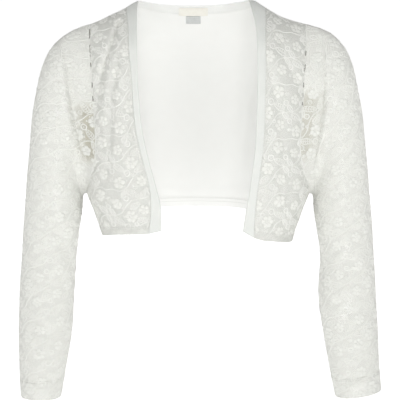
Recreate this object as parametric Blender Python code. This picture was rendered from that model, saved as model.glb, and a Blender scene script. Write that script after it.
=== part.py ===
"""Girl's cropped bolero in floral lace: open front, lined body, long unlined sleeves.

It has the form it takes on a wearer, hollow, in metres, +Z up, with its front towards -Y.
The origin lies between the two neck points, where the shoulders carry it.
Left and right are the wearer's: the wearer's right is at -X.
"""
import math

import bpy
import numpy as np

# Driving dimensions, in millimetres
MM = 0.001
WALL = 1.0               # lace, and lining
SEAM_GAP = 0.3           # between pieces at a seam, and between a lining and its lace
BAND_WALL = 2.0          # a folded band of jersey
LAYERS = 2 * WALL + SEAM_GAP
NECK_CENTRE = -6.5       # x of the middle of the back neck
NECK_DROP = 17.0         # back neck below the ridge line of the shoulders
NECK_BAND = 11.0         # height of the back neck band
SHOULDER_TIP = 144.0     # x of the top of each armhole
UNDERARM = -257.0        # level of the foot of each armhole
SHOULDER_ROUND = 60.0    # height over which the cloth rounds over the shoulder
SQUARENESS = 2.6         # of the body's horizontal sections; 2 is an ellipse
WEB_FROM = 0.35          # share of a sleeve's section, from its outer side, that stays round
LONGEST_MITRE = 1.3      # most that a wall grows at a fold
LABEL = {"wide": 40.0, "from": 3.4, "to": 19.4}
SIZE_LABEL = {"wide": 20.0, "from": 20.6, "to": 34.5}

# Cells along each stretch of cloth
ARMHOLE_CELLS = 12
SIDE_CELLS = 4
SHOULDER_CELLS = 9
NECK_CELLS = 12
BAND_CELLS = 2
SLEEVE_CELLS = 24

SIDES = {"right": -1, "left": 1}

# Outside of the body at each level: half width, and depth before and behind the side seams
BODY = {
    "level": [10, -20, -60, -110, -170, -230, -250, -259, -268, -280, -293, -307, -330],
    "half_width": [150, 150, 151.5, 151, 150.5, 151.5, 152, 151, 147.6, 142.8, 138.5, 133.5, 127],
    "front": [48, 54, 67, 78, 84, 84, 83.5, 83, 82, 81.5, 81, 80.5, 80],
    "back": [58, 68, 84, 93, 93, 89, 87.5, 87, 86, 85.5, 85, 84.5, 84],
}
# Top line of the shoulders, seen from the front, carried on across the neck
RIDGE = {
    "x": [-144, -129, -118, -107, -96, -88, -80, -60, -35, -6.5, 22, 47, 67, 76, 82, 90, 99, 108, 124, 144],
    "level": [-30, -24, -18.5, -13.5, -8, -3, 1, 5, 9, 11, 9, 5.5, 2, 1, -3, -8, -13.5, -18.5, -24.5, -30],
}
# Distance from the middle of the front edge and of the seam between band and lace
FRONT = {
    "right": {
        "level": [5, -10, -34, -72, -98, -125, -164, -203, -243, -263, -305],
        "edge": [79.5, 80, 80, 79, 78.5, 76.6, 72.5, 64.3, 53.7, 49.2, 48],
        "lace": [95, 94, 91, 89, 86, 84.5, 81, 72.5, 63, 61.5, 64.5],
    },
    "left": {
        "level": [5, -10, -34, -72, -125, -190, -220, -250, -275, -305],
        "edge": [67, 71, 76, 77.6, 77, 74.5, 71, 67, 62.5, 58.4],
        "lace": [89, 89, 88, 88, 87.5, 85, 81.5, 77.5, 75, 73.7],
    },
}
# Armhole seam: distance forward or back of the side at each angle down from the shoulder,
# as a share of the body's depth at that level
ARMHOLE = {
    "turn": [0, 30, 60, 90, 120, 150, 165, 180],
    "front": [0.33, 0.4, 0.47, 0.52, 0.55, 0.35, 0.185, 0.0],
    "back": [0.33, 0.4, 0.46, 0.5, 0.5, 0.32, 0.17, 0.0],
}
# Level of the hem at each distance from the middle
HEM = {
    "front right": {"x": [45, 52, 64, 90, 110, 131], "level": [-297, -300, -302.5, -305, -307.5, -314]},
    "front left": {"x": [56, 62, 72, 82, 102, 131], "level": [-298, -302, -308, -312, -316, -323]},
    "back right": {"x": [0, 60, 100, 120, 131], "level": [-291, -293, -299, -306, -314]},
    "back left": {"x": [0, 60, 100, 120, 131], "level": [-291, -294, -303, -313, -323]},
}
# Outside of each sleeve, a row for each section from armhole to cuff: its outer and inner ends
# seen from the front, its middle and half depth from front to back, and how much of its inner
# part draws in towards the underarm
SLEEVE = {
    "right": {
        "outer_x": [144, 160, 176, 190, 200, 209, 216, 222.5, 228, 233.5, 237.5, 241, 245, 246.5, 246, 244],
        "outer_z": [-30, -35, -43, -54, -67, -87, -113, -149, -199, -250, -296, -345, -400, -450, -500, -538],
        "inner_x": [149, 156, 158, 158.5, 158.5, 158.5, 158.5, 158.7, 159, 160, 162, 166, 169.5, 173, 181.5,
                    188],
        "inner_z": [-257, -260, -264, -268, -272, -276, -280, -284.5, -290, -298, -311, -349, -400, -450,
                    -500, -538],
        "mid_y": [0, 0, 0, 0, 0, -1, -2, -3, -4, -5, -6, -8, -10, -13, -18, -22],
        "half_depth": [42, 41, 41, 42, 43, 43, 43, 43, 42, 41.5, 40.5, 38.5, 37.5, 36, 32, 28.5],
        "web": [0, 0.05, 0.1, 0.12, 0.11, 0.1, 0.08, 0.05, 0.03, 0.01, 0, 0, 0, 0, 0, 0],
    },
    "left": {
        "outer_x": [144, 161, 178, 191, 200, 208, 214, 221, 227, 232.5, 237, 240.5, 244, 247, 249.5, 252],
        "outer_z": [-30, -34.5, -42, -54, -67, -87, -113, -149, -199, -250, -296, -345, -400, -450, -500, -527.5],
        "inner_x": [149, 156, 158, 158.5, 158.5, 158.5, 158.5, 158.7, 159, 160, 162, 166.5, 164.5, 171.5, 181,
                    188],
        "inner_z": [-257, -260, -264, -268, -272, -276, -280, -284.5, -290, -298, -311, -349, -400, -450,
                    -502, -537],
        "mid_y": [0, 0, 0, 0, 0, -1, -2, -3, -4, -5, -6, -9, -12, -16, -21, -25],
        "half_depth": [42, 41, 41, 42, 43, 43, 43, 43, 42, 41.5, 40.5, 39, 38.5, 36.5, 33, 30],
        "web": [0, 0.05, 0.1, 0.12, 0.11, 0.1, 0.08, 0.05, 0.03, 0.01, 0, 0, 0, 0, 0, 0],
    },
}
# Largest folds, soft troughs along straight lines seen from the front: depth and spread
FOLDS = {
    "face": ["front", "front", "front", "front", "front", "front", "back", "back", "back", "back"],
    "from_x": [-184, -173, 169, 173, -112, 106, -188, 190, -118, 112],
    "from_z": [-58, -127, -80, -142, -57, -50, -80, -90, -70, -60],
    "to_x": [-173, -160, 173, 163, -131, 137, -166, 168, -98, 97],
    "to_z": [-127, -240, -142, -239, -105, -122, -225, -235, -135, -142],
    "depth": [4.0, 4.0, 3.5, 4.0, 2.5, 2.5, 4.0, 4.0, 2.0, 2.0],
    "spread": [9, 9, 8, 9, 7, 7, 9, 9, 8, 8],
}

LACE_WHITE = (0.83, 0.84, 0.80, 1.0)
JERSEY_WHITE = (0.88, 0.88, 0.86, 1.0)
LABEL_CREAM = (0.87, 0.85, 0.79, 1.0)
LABEL_GREY = (0.66, 0.67, 0.66, 1.0)


def mix(a, b, share):
    return a + (b - a) * share


def read(table, name, at, key="level"):
    """A table's column on a smooth curve through its rows, where the key column has this value."""
    x = np.array(table[key], float)
    y = np.array(table[name], float)
    if x[0] > x[-1]:
        x, y = x[::-1], y[::-1]
    slope = np.gradient(y, x)
    i = int(np.clip(np.searchsorted(x, at) - 1, 0, len(x) - 2))
    span = x[i + 1] - x[i]
    t = min(max((at - x[i]) / span, 0.0), 1.0)
    rise = (2 * t - 3) * t * t
    return (1 + rise) * y[i] - rise * y[i + 1] + span * t * (1 - t) * ((1 - t) * slope[i] - t * slope[i + 1])


# The body's surface: the inner side of its lining

def half_width(z):
    return read(BODY, "half_width", z) - LAYERS


def ridge(x):
    return read(RIDGE, "level", x, key="x") - LAYERS


def angle_of(x, z):
    """Angle round the body's section at which its cloth is this far out."""
    share = min(abs(x) / half_width(z), 1.0)
    return math.copysign(math.asin(share ** (SQUARENESS / 2)), x)


def out_at(angle, z):
    return math.copysign(half_width(z) * abs(math.sin(angle)) ** (2 / SQUARENESS), angle)


def fold(face, x, z):
    """Depth of the folds' troughs at a place seen from the front."""
    total = 0.0
    for i, on in enumerate(FOLDS["face"]):
        if on != face:
            continue
        start = np.array([FOLDS["from_x"][i], FOLDS["from_z"][i]], float)
        run = np.array([FOLDS["to_x"][i], FOLDS["to_z"][i]], float) - start
        here = np.array([x, z]) - start
        share = min(max(here @ run / (run @ run), 0.0), 1.0)
        away = np.linalg.norm(here - share * run)
        total = max(total, FOLDS["depth"][i] * math.exp(-(away / FOLDS["spread"][i]) ** 2))
    return total


def body_point(face, x, z):
    depth = read(BODY, face, z) - LAYERS
    round_side = max(0.0, 1 - (abs(x) / half_width(z)) ** SQUARENESS) ** (1 / SQUARENESS)
    drop = max(0.0, ridge(x) - z)
    round_top = math.sqrt(1 - max(0.0, 1 - drop / SHOULDER_ROUND) ** 2)
    y = depth * round_side * round_top
    y -= fold(face, x, z) * min(1.0, 2 * round_side * round_top)
    return x, (-y if face == "front" else y), z


def hem_level(face, side, x):
    return read(HEM[face + " " + side], "level", abs(x), key="x")


def side_hem(side):
    return HEM["front " + side]["level"][-1]


def share_above(row):
    """Share of the way from a shoulder to the foot of the armholes, at a row of cells."""
    return (1 - math.cos(math.pi * min(row, ARMHOLE_CELLS) / ARMHOLE_CELLS)) / 2


def row_level(row, top, hem):
    """Level of a row on a line down the body; the foot of the armholes is level all round."""
    if row <= ARMHOLE_CELLS:
        return mix(top, UNDERARM, share_above(row))
    return mix(UNDERARM, hem, (row - ARMHOLE_CELLS) / SIDE_CELLS)


def armhole_angle(face, row):
    """Angle round the body's section of a panel's outer edge: its armhole, and below it its side seam."""
    if row >= ARMHOLE_CELLS:
        return math.pi / 2
    depth = read(ARMHOLE, face, 180 * row / ARMHOLE_CELLS, key="turn")
    return math.asin(math.sqrt(1 - depth ** SQUARENESS))


def half_panel(face, side, top, start_x):
    """Grid of points from a start line out to the armhole and side seam, rows from the top down.

    top is the list of (x, z) along its upper edge, and start_x gives the start line at a level.
    """
    sign = SIDES[side]
    last = len(top) - 1
    first_angle = angle_of(*top[0])
    top_angles = [angle_of(x, z) for x, z in top]
    top_fractions = [(a - first_angle) / (top_angles[-1] - first_angle) for a in top_angles]
    side_z = side_hem(side)
    hem_start = angle_of(start_x(side_z), side_z)
    hem = []
    for column in range(last):
        x = out_at(mix(hem_start, sign * math.pi / 2, column / last), side_z)
        hem.append(hem_level(face, side, x))
    hem.append(side_z)
    grid = []
    for row in range(ARMHOLE_CELLS + SIDE_CELLS + 1):
        begin_z = row_level(row, top[0][1], hem[0])
        begin = angle_of(start_x(begin_z), begin_z) if row else first_angle
        end = sign * armhole_angle(face, row)
        line = []
        for column in range(last + 1):
            z = row_level(row, top[column][1], hem[column])
            fraction = mix(top_fractions[column], column / last, share_above(row))
            line.append(body_point(face, out_at(mix(begin, end, fraction), z), z))
        grid.append(line)
    return np.array(grid)


def shoulder_columns(side):
    """Points along a shoulder seam, from the band's seam out to the top of the armhole."""
    sign = SIDES[side]
    inner = FRONT[side]["lace"][0]
    outer = abs(out_at(armhole_angle("front", 0), ridge(sign * SHOULDER_TIP)))
    xs = [sign * mix(inner, outer, i / SHOULDER_CELLS) for i in range(SHOULDER_CELLS + 1)]
    return [(x, ridge(x)) for x in xs]


def neck_line(share, name, drop):
    """A point of the back neck's edge or band seam; share runs from -1, at the wearer's right, to 1."""
    side = "right" if share < 0 else "left"
    end = SIDES[side] * FRONT[side][name][0]
    x = mix(NECK_CENTRE, end, abs(share))
    return x, ridge(x) - drop * (1 - share * share)


def neck_shares():
    return [2 * i / NECK_CELLS - 1 for i in range(NECK_CELLS + 1)]


def front_panel(side):
    def start_x(z):
        return SIDES[side] * read(FRONT[side], "lace", z)

    return half_panel("front", side, shoulder_columns(side), start_x)


def back_panel():
    halves = []
    for side, sign in SIDES.items():
        neck = [neck_line(s, "lace", NECK_DROP + NECK_BAND) for s in neck_shares() if s * sign > -1e-9]
        neck.sort(key=lambda point: point[0] * sign)
        top = neck[:-1] + shoulder_columns(side)
        halves.append(half_panel("back", side, top, lambda z: NECK_CENTRE))
    return np.concatenate([halves[0][:, :0:-1], halves[1]], axis=1)


def front_band(side):
    """Strip of cloth between the front edge and the lace, from shoulder to hem."""
    sign = SIDES[side]
    edge = FRONT[side]["edge"]
    top_z, hem_z = ridge(sign * edge[0]), hem_level("front", side, edge[-1])
    grid = []
    for row, start in enumerate(front_panel(side)[:, 0]):
        z_edge = row_level(row, top_z, hem_z)
        x_edge = sign * (read(FRONT[side], "edge", z_edge) if row else edge[0])
        line = [start]
        for column in range(1, BAND_CELLS + 1):
            part = column / BAND_CELLS
            x = mix(start[0], x_edge, part)
            z = mix(start[2], z_edge, part) if row else ridge(x)
            line.append(np.array(body_point("front", x, z)))
        grid.append(line)
    return np.array(grid)


def neck_band():
    """Strip of cloth round the back neck, from its seam with the back up to its edge."""
    grid = []
    for row in range(BAND_CELLS + 1):
        part = row / BAND_CELLS
        line = []
        for share in neck_shares():
            seam = neck_line(share, "lace", NECK_DROP + NECK_BAND)
            edge = neck_line(share, "edge", NECK_DROP)
            x, z = mix(seam[0], edge[0], part), mix(seam[1], edge[1], part)
            z = ridge(x) if abs(share) == 1 else z
            line.append(body_point("back", x, z))
        grid.append(line)
    return np.array(grid)


# The sleeves' surface

def sleeve_formula(side, row, turn):
    """A point of a sleeve; row counts its table's rows, turn runs right round from the outer side."""
    table = SLEEVE[side]
    key = {name: list(column) for name, column in table.items()}
    key["row"] = list(range(len(table["web"])))
    value = {name: read(key, name, row, key="row") for name in table}
    outer = np.array([value["outer_x"], value["outer_z"]])
    inner = np.array([value["inner_x"], value["inner_z"]])
    along = (outer - inner) / np.linalg.norm(outer - inner)
    outer, inner = outer - along * LAYERS, inner + along * LAYERS
    inward = (1 - math.cos(turn)) / 2
    x, z = mix(outer, inner, inward)
    depth = (value["half_depth"] - LAYERS) * abs(math.sin(turn))
    near = min(max((inward - WEB_FROM) / (1 - WEB_FROM), 0.0), 1.0)
    depth *= 1 - value["web"] * near * near * (3 - 2 * near)
    face = "front" if turn <= math.pi else "back"
    depth -= fold(face, SIDES[side] * x, z) * abs(math.sin(turn))
    y = value["mid_y"] + (-depth if face == "front" else depth)
    return np.array([SIDES[side] * x, y, z])


def sleeve(side, front, back):
    """Grid of a sleeve, a ring of points a row, its first ring sewn to both panels' armholes."""
    column = -1 if side == "left" else 0
    armhole = list(front[:ARMHOLE_CELLS + 1, -1]) + list(back[ARMHOLE_CELLS - 1:0:-1, column])
    around = len(armhole)
    last = len(SLEEVE[side]["web"]) - 1
    grid = []
    for ring in range(SLEEVE_CELLS + 1):
        row = last * ring / SLEEVE_CELLS
        fade = max(0.0, 1 - row / 4) ** 2
        line = []
        for i, seam in enumerate(armhole):
            turn = 2 * math.pi * i / around
            shift = seam - sleeve_formula(side, 0, turn)
            line.append(sleeve_formula(side, row, turn) + shift * fade)
        grid.append(line)
    return np.array(grid)


# Walls

def quads(grid, closed):
    """Corner indices of a grid's cells; a closed grid goes right round."""
    rows, columns = grid.shape[:2]
    for row in range(rows - 1):
        for column in range(columns if closed else columns - 1):
            after = (column + 1) % columns
            yield (row, column), (row, after), (row + 1, after), (row + 1, column)


def facing_out(grid, closed):
    """The grid with its columns in the order that makes its cells face out."""
    centre = grid.mean(axis=1, keepdims=True) if closed else np.zeros((1, 1, 3))
    total = 0.0
    for a, b, c, d in quads(grid, closed):
        normal = np.cross(grid[c] - grid[a], grid[d] - grid[b])
        middle = (grid[a] + grid[c]) / 2
        away = middle - (centre[a[0], 0] if closed else centre[0, 0])
        total += float(normal @ away) if closed else float(normal[:2] @ away[:2])
    return grid if total > 0 else grid[:, ::-1]


def own_normals(grid, closed):
    """A unit direction for each point of a grid, out of its cells."""
    total = np.zeros(grid.shape)
    for corners in quads(grid, closed):
        a, b, c, d = (grid[corner] for corner in corners)
        normal = np.cross(c - a, d - b)
        for corner in corners:
            total[corner] += normal
    return total / np.linalg.norm(total, axis=-1, keepdims=True)


def shared_normals(grids):
    """For each grid a direction for each point, the same for all pieces that meet there.

    It halves the angle between them, and is lengthened at a fold to keep a wall's thickness.
    """
    def place(point):
        return tuple(np.round(point, 2))

    own = {name: own_normals(grid, closed) for name, (grid, closed) in grids.items()}
    meeting = {}
    for name, (grid, closed) in grids.items():
        for point, unit in zip(grid.reshape(-1, 3), own[name].reshape(-1, 3)):
            meeting.setdefault(place(point), []).append(unit)
    directions = {}
    for key, units in meeting.items():
        total = np.sum(units, axis=0)
        length = np.linalg.norm(total)
        directions[key] = total / length * min(len(units) / length, LONGEST_MITRE)
    result = {}
    for name, (grid, closed) in grids.items():
        result[name] = np.array([[directions[place(point)] for point in line] for line in grid])
    return result


def parted(grid, normals, edges):
    """The grid drawn back by half a seam gap along the named edges."""
    out = grid.copy()
    for name, line, inner in (("top", np.s_[0], np.s_[1]), ("bottom", np.s_[-1], np.s_[-2]),
                              ("first", np.s_[:, 0], np.s_[:, 1]), ("last", np.s_[:, -1], np.s_[:, -2])):
        if name in edges:
            run = grid[inner] - grid[line]
            mitre = np.linalg.norm(normals[line], axis=-1, keepdims=True)
            out[line] += run / np.linalg.norm(run, axis=-1, keepdims=True) * mitre * SEAM_GAP / 2
    return out


def new_object(name, vertices, faces, material):
    mesh = bpy.data.meshes.new(name)
    mesh.from_pydata([tuple(v * MM) for v in vertices], [], faces)
    mesh.shade_smooth()
    mesh.set_sharp_from_angle(angle=math.radians(50))
    mesh.materials.append(material)
    thing = bpy.data.objects.new(name, mesh)
    garment.objects.link(thing)
    return thing


def wall(name, grid, normals, low, high, material, closed=False):
    """Loft of a wall: its inner and outer faces, low and high above the grid, and its rims.

    Each cell is split along its shorter diagonal, the same one in a lining and in its lace.
    """
    rows, columns = grid.shape[:2]
    inner = grid + normals * low
    outer = grid + normals * high
    vertices = list(outer.reshape(-1, 3)) + list(inner.reshape(-1, 3))
    skin = rows * columns

    def index(corner, side):
        return corner[0] * columns + corner[1] + side * skin

    faces = []
    for a, b, c, d in quads(grid, closed):
        if np.linalg.norm(grid[a] - grid[c]) > np.linalg.norm(grid[b] - grid[d]):
            a, b, c, d = b, c, d, a
        for corners in ((a, b, c), (a, c, d)):
            faces.append([index(corner, 0) for corner in corners])
            faces.append([index(corner, 1) for corner in reversed(corners)])
    if closed:
        loops = [[(0, i) for i in range(columns)], [(rows - 1, i) for i in reversed(range(columns))]]
    else:
        rim = [(0, i) for i in range(columns - 1)] + [(i, columns - 1) for i in range(rows - 1)]
        rim += [(rows - 1, i) for i in range(columns - 1, 0, -1)] + [(i, 0) for i in range(rows - 1, 0, -1)]
        loops = [rim]
    for loop in loops:
        for here, after in zip(loop, loop[1:] + loop[:1]):
            faces.append([index(after, 0), index(here, 0), index(here, 1), index(after, 1)])
    return new_object(name, vertices, faces, material)


def neck_inside(band, back):
    """One grid down the middle of the back, from the neck band's edge over its seam and on down the back."""
    half = (band.shape[1] - 1) // 2
    middle = (back.shape[1] - 1) // 2
    return np.concatenate([band[::-1, ::-1], back[1:, middle - half:middle + half + 1]])


def patch(grid, directions, size, cells):
    """Points and directions of a small piece on a grid's facets, astride its middle column.

    size gives its width and where it starts and ends down the grid, and cells its own cells.
    """
    middle = (grid.shape[1] - 1) // 2
    steps = np.linalg.norm(np.diff(grid[:, middle], axis=0), axis=-1)
    down = np.concatenate([[0.0], np.cumsum(steps)])
    across = np.linspace(-size["wide"] / 2, size["wide"] / 2, cells[0] + 1)
    points, outward = [], []
    for i in range(cells[1] + 1):
        row = float(np.interp(mix(size["from"], size["to"], i / cells[1]), down, range(len(down))))
        r = min(int(row), len(grid) - 2)
        line = mix(grid[r], grid[r + 1], row - r)
        ways = mix(directions[r], directions[r + 1], row - r)
        along = np.concatenate([[0.0], np.cumsum(np.linalg.norm(np.diff(line, axis=0), axis=-1))])
        along -= along[middle]
        points.append([[np.interp(a, along, line[:, k]) for k in range(3)] for a in across])
        outward.append([[np.interp(a, along, ways[:, k]) for k in range(3)] for a in across])
    return np.array(points), np.array(outward)


def cloth(name, colour, roughness, sheen):
    material = bpy.data.materials.new(name)
    material.use_nodes = True
    shader = material.node_tree.nodes["Principled BSDF"]
    shader.inputs["Base Color"].default_value = colour
    shader.inputs["Roughness"].default_value = roughness
    shader.inputs["Metallic"].default_value = 0.0
    shader.inputs["Sheen Weight"].default_value = sheen
    return material


for thing in list(bpy.data.objects):
    bpy.data.objects.remove(thing, do_unlink=True)
garment = bpy.data.collections.new("bolero")
bpy.context.scene.collection.children.link(garment)

# Every stretch of cloth, as points on its inner side
back = back_panel()
grids = {"back": (facing_out(back, False), False), "neck_band": (facing_out(neck_band(), False), False)}
for side in SIDES:
    front = front_panel(side)
    grids["front_" + side] = (facing_out(front, False), False)
    grids["band_" + side] = (facing_out(front_band(side), False), False)
    grids["sleeve_" + side] = (facing_out(sleeve(side, front, back), True), True)
normals = shared_normals(grids)

# Body: jersey lining, and lace over it
fronts = [("front_right", "right"), ("front_left", "left")]
for name, side in fronts + [("back", None)]:
    grid = grids[name][0]
    inset = parted(grid, normals[name], ("top", "first", "last"))
    lining = cloth("jersey " + name, JERSEY_WHITE, 0.9, 0.2)
    lace = cloth("lace " + name, LACE_WHITE, 0.75, 0.25)
    wall("lining_" + name, inset, normals[name], 0, WALL, lining)
    wall("lace_" + name, inset, normals[name], WALL + SEAM_GAP, LAYERS, lace)

# Sleeves: lace alone, in line with the body's lace
for side in SIDES:
    name = "sleeve_" + side
    grid = parted(grids[name][0], normals[name], ("top",))
    lace = cloth("lace " + name, LACE_WHITE, 0.75, 0.25)
    wall(name, grid, normals[name], WALL + SEAM_GAP, LAYERS, lace, closed=True)

# Bands: folded jersey down both front edges and round the back neck
band_low = (LAYERS - BAND_WALL) / 2
for side in SIDES:
    name = "band_" + side
    grid = grids[name][0]
    seam = "first" if abs(grid[0, 0, 0]) > abs(grid[0, -1, 0]) else "last"
    jersey = cloth("jersey " + name, JERSEY_WHITE, 0.9, 0.2)
    wall(name, parted(grid, normals[name], ("top", seam)), normals[name], band_low, band_low + BAND_WALL, jersey)
grid = grids["neck_band"][0]
jersey = cloth("jersey neck band", JERSEY_WHITE, 0.9, 0.2)
inset = parted(grid, normals["neck_band"], ("top", "first", "last"))
wall("neck_band", inset, normals["neck_band"], band_low, band_low + BAND_WALL, jersey)

# Labels: a woven one inside the back neck, across the neck band's seam, and a small one below it
inside = neck_inside(grids["neck_band"][0], grids["back"][0])
ways = neck_inside(normals["neck_band"], normals["back"])
for name, size, colour in (("neck_label", LABEL, LABEL_CREAM), ("size_label", SIZE_LABEL, LABEL_GREY)):
    points, outward = patch(inside, ways, size, (6, 3))
    wall(name, points, outward, -SEAM_GAP - WALL, -SEAM_GAP, cloth(name, colour, 0.8, 0.1))
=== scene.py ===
"""Girl's cropped bolero in floral lace: open front, lined body, long unlined sleeves.

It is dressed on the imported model, in metres, +Z up, with its front towards -Y.
Left and right are the wearer's: the wearer's right is at -X.
"""
import math

import bmesh
import bpy
import numpy as np
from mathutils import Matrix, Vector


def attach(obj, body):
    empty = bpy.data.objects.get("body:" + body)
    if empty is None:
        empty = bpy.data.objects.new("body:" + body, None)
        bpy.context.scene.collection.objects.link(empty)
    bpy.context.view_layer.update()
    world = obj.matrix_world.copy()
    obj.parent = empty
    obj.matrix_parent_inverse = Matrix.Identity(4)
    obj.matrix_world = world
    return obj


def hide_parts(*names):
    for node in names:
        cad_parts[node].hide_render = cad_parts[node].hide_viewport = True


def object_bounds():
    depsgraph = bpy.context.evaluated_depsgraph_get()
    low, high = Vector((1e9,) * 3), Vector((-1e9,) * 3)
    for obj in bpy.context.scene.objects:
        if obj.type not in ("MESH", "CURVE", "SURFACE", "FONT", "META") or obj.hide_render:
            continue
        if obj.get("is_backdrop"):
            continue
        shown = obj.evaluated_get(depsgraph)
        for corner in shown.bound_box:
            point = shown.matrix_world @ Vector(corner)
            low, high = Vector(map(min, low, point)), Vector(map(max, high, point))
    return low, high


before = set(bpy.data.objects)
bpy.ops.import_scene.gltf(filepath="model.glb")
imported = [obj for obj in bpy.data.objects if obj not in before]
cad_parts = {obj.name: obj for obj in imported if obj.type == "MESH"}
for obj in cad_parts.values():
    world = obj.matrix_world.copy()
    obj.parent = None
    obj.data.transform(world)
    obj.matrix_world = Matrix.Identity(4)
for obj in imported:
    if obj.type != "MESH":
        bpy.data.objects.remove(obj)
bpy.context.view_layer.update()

# The cut: back, fronts, sleeves and bands as surfaces of points, in millimetres.
# Each lies on the inner side of the lining, has the form of its solid, and is built up outwards.
MM = 0.001
WALL = 1.0
SEAM_GAP = 0.3
LAYERS = 2 * WALL + SEAM_GAP
NECK_CENTRE = -6.5
NECK_DROP = 17.0
NECK_BAND = 11.0
NECK_SEAM_DROP = NECK_DROP + NECK_BAND
SHOULDER_TIP = 144.0
UNDERARM = -257.0
SHOULDER_ROUND = 60.0
SQUARENESS = 2.6
WEB_FROM = 0.35
LONGEST_MITRE = 1.3
ARMHOLE_CELLS = 48
SIDE_CELLS = 18
SHOULDER_CELLS = 32
NECK_CELLS = 48
SLEEVE_CELLS = 168
BAND_PARTS = [0, 0.2, 0.4, 0.58, 0.72, 0.82, 0.89, 0.94, 0.975, 1]
SIDES = {"right": -1, "left": 1}

BODY = {
    "level": [10, -20, -60, -110, -170, -230, -250, -259, -268, -280, -293, -307, -330],
    "half_width": [150, 150, 151.5, 151, 150.5, 151.5, 152, 151, 147.6, 142.8, 138.5, 133.5, 127],
    "front": [48, 54, 67, 78, 84, 84, 83.5, 83, 82, 81.5, 81, 80.5, 80],
    "back": [58, 68, 84, 93, 93, 89, 87.5, 87, 86, 85.5, 85, 84.5, 84],
}
RIDGE = {
    "x": [-144, -129, -118, -107, -96, -88, -80, -60, -35, -6.5, 22, 47, 67, 76, 82, 90, 99, 108, 124, 144],
    "level": [-30, -24, -18.5, -13.5, -8, -3, 1, 5, 9, 11, 9, 5.5, 2, 1, -3, -8, -13.5, -18.5, -24.5, -30],
}
FRONT = {
    "right": {
        "level": [5, -10, -34, -72, -98, -125, -164, -203, -243, -263, -305],
        "edge": [79.5, 80, 80, 79, 78.5, 76.6, 72.5, 64.3, 53.7, 49.2, 48],
        "lace": [95, 94, 91, 89, 86, 84.5, 81, 72.5, 63, 61.5, 64.5],
    },
    "left": {
        "level": [5, -10, -34, -72, -125, -190, -220, -250, -275, -305],
        "edge": [67, 71, 76, 77.6, 77, 74.5, 71, 67, 62.5, 58.4],
        "lace": [89, 89, 88, 88, 87.5, 85, 81.5, 77.5, 75, 73.7],
    },
}
ARMHOLE = {
    "turn": [0, 30, 60, 90, 120, 150, 165, 180],
    "front": [0.33, 0.4, 0.47, 0.52, 0.55, 0.35, 0.185, 0.0],
    "back": [0.33, 0.4, 0.46, 0.5, 0.5, 0.32, 0.17, 0.0],
}
HEM = {
    "front right": {"x": [45, 52, 64, 90, 110, 131], "level": [-297, -300, -302.5, -305, -307.5, -314]},
    "front left": {"x": [56, 62, 72, 82, 102, 131], "level": [-298, -302, -308, -312, -316, -323]},
    "back right": {"x": [0, 60, 100, 120, 131], "level": [-291, -293, -299, -306, -314]},
    "back left": {"x": [0, 60, 100, 120, 131], "level": [-291, -294, -303, -313, -323]},
}
SLEEVE = {
    "right": {
        "outer_x": [144, 160, 176, 190, 200, 209, 216, 222.5, 228, 233.5, 237.5, 241, 245, 246.5, 246, 244],
        "outer_z": [-30, -35, -43, -54, -67, -87, -113, -149, -199, -250, -296, -345, -400, -450, -500, -538],
        "inner_x": [149, 156, 158, 158.5, 158.5, 158.5, 158.5, 158.7, 159, 160, 162, 166, 169.5, 173, 181.5,
                    188],
        "inner_z": [-257, -260, -264, -268, -272, -276, -280, -284.5, -290, -298, -311, -349, -400, -450,
                    -500, -538],
        "mid_y": [0, 0, 0, 0, 0, -1, -2, -3, -4, -5, -6, -8, -10, -13, -18, -22],
        "half_depth": [42, 41, 41, 42, 43, 43, 43, 43, 42, 41.5, 40.5, 38.5, 37.5, 36, 32, 28.5],
        "web": [0, 0.05, 0.1, 0.12, 0.11, 0.1, 0.08, 0.05, 0.03, 0.01, 0, 0, 0, 0, 0, 0],
    },
    "left": {
        "outer_x": [144, 161, 178, 191, 200, 208, 214, 221, 227, 232.5, 237, 240.5, 244, 247, 249.5, 252],
        "outer_z": [-30, -34.5, -42, -54, -67, -87, -113, -149, -199, -250, -296, -345, -400, -450,
                    -500, -527.5],
        "inner_x": [149, 156, 158, 158.5, 158.5, 158.5, 158.5, 158.7, 159, 160, 162, 166.5, 164.5, 171.5, 181,
                    188],
        "inner_z": [-257, -260, -264, -268, -272, -276, -280, -284.5, -290, -298, -311, -349, -400, -450,
                    -502, -537],
        "mid_y": [0, 0, 0, 0, 0, -1, -2, -3, -4, -5, -6, -9, -12, -16, -21, -25],
        "half_depth": [42, 41, 41, 42, 43, 43, 43, 43, 42, 41.5, 40.5, 39, 38.5, 36.5, 33, 30],
        "web": [0, 0.05, 0.1, 0.12, 0.11, 0.1, 0.08, 0.05, 0.03, 0.01, 0, 0, 0, 0, 0, 0],
    },
}
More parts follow.
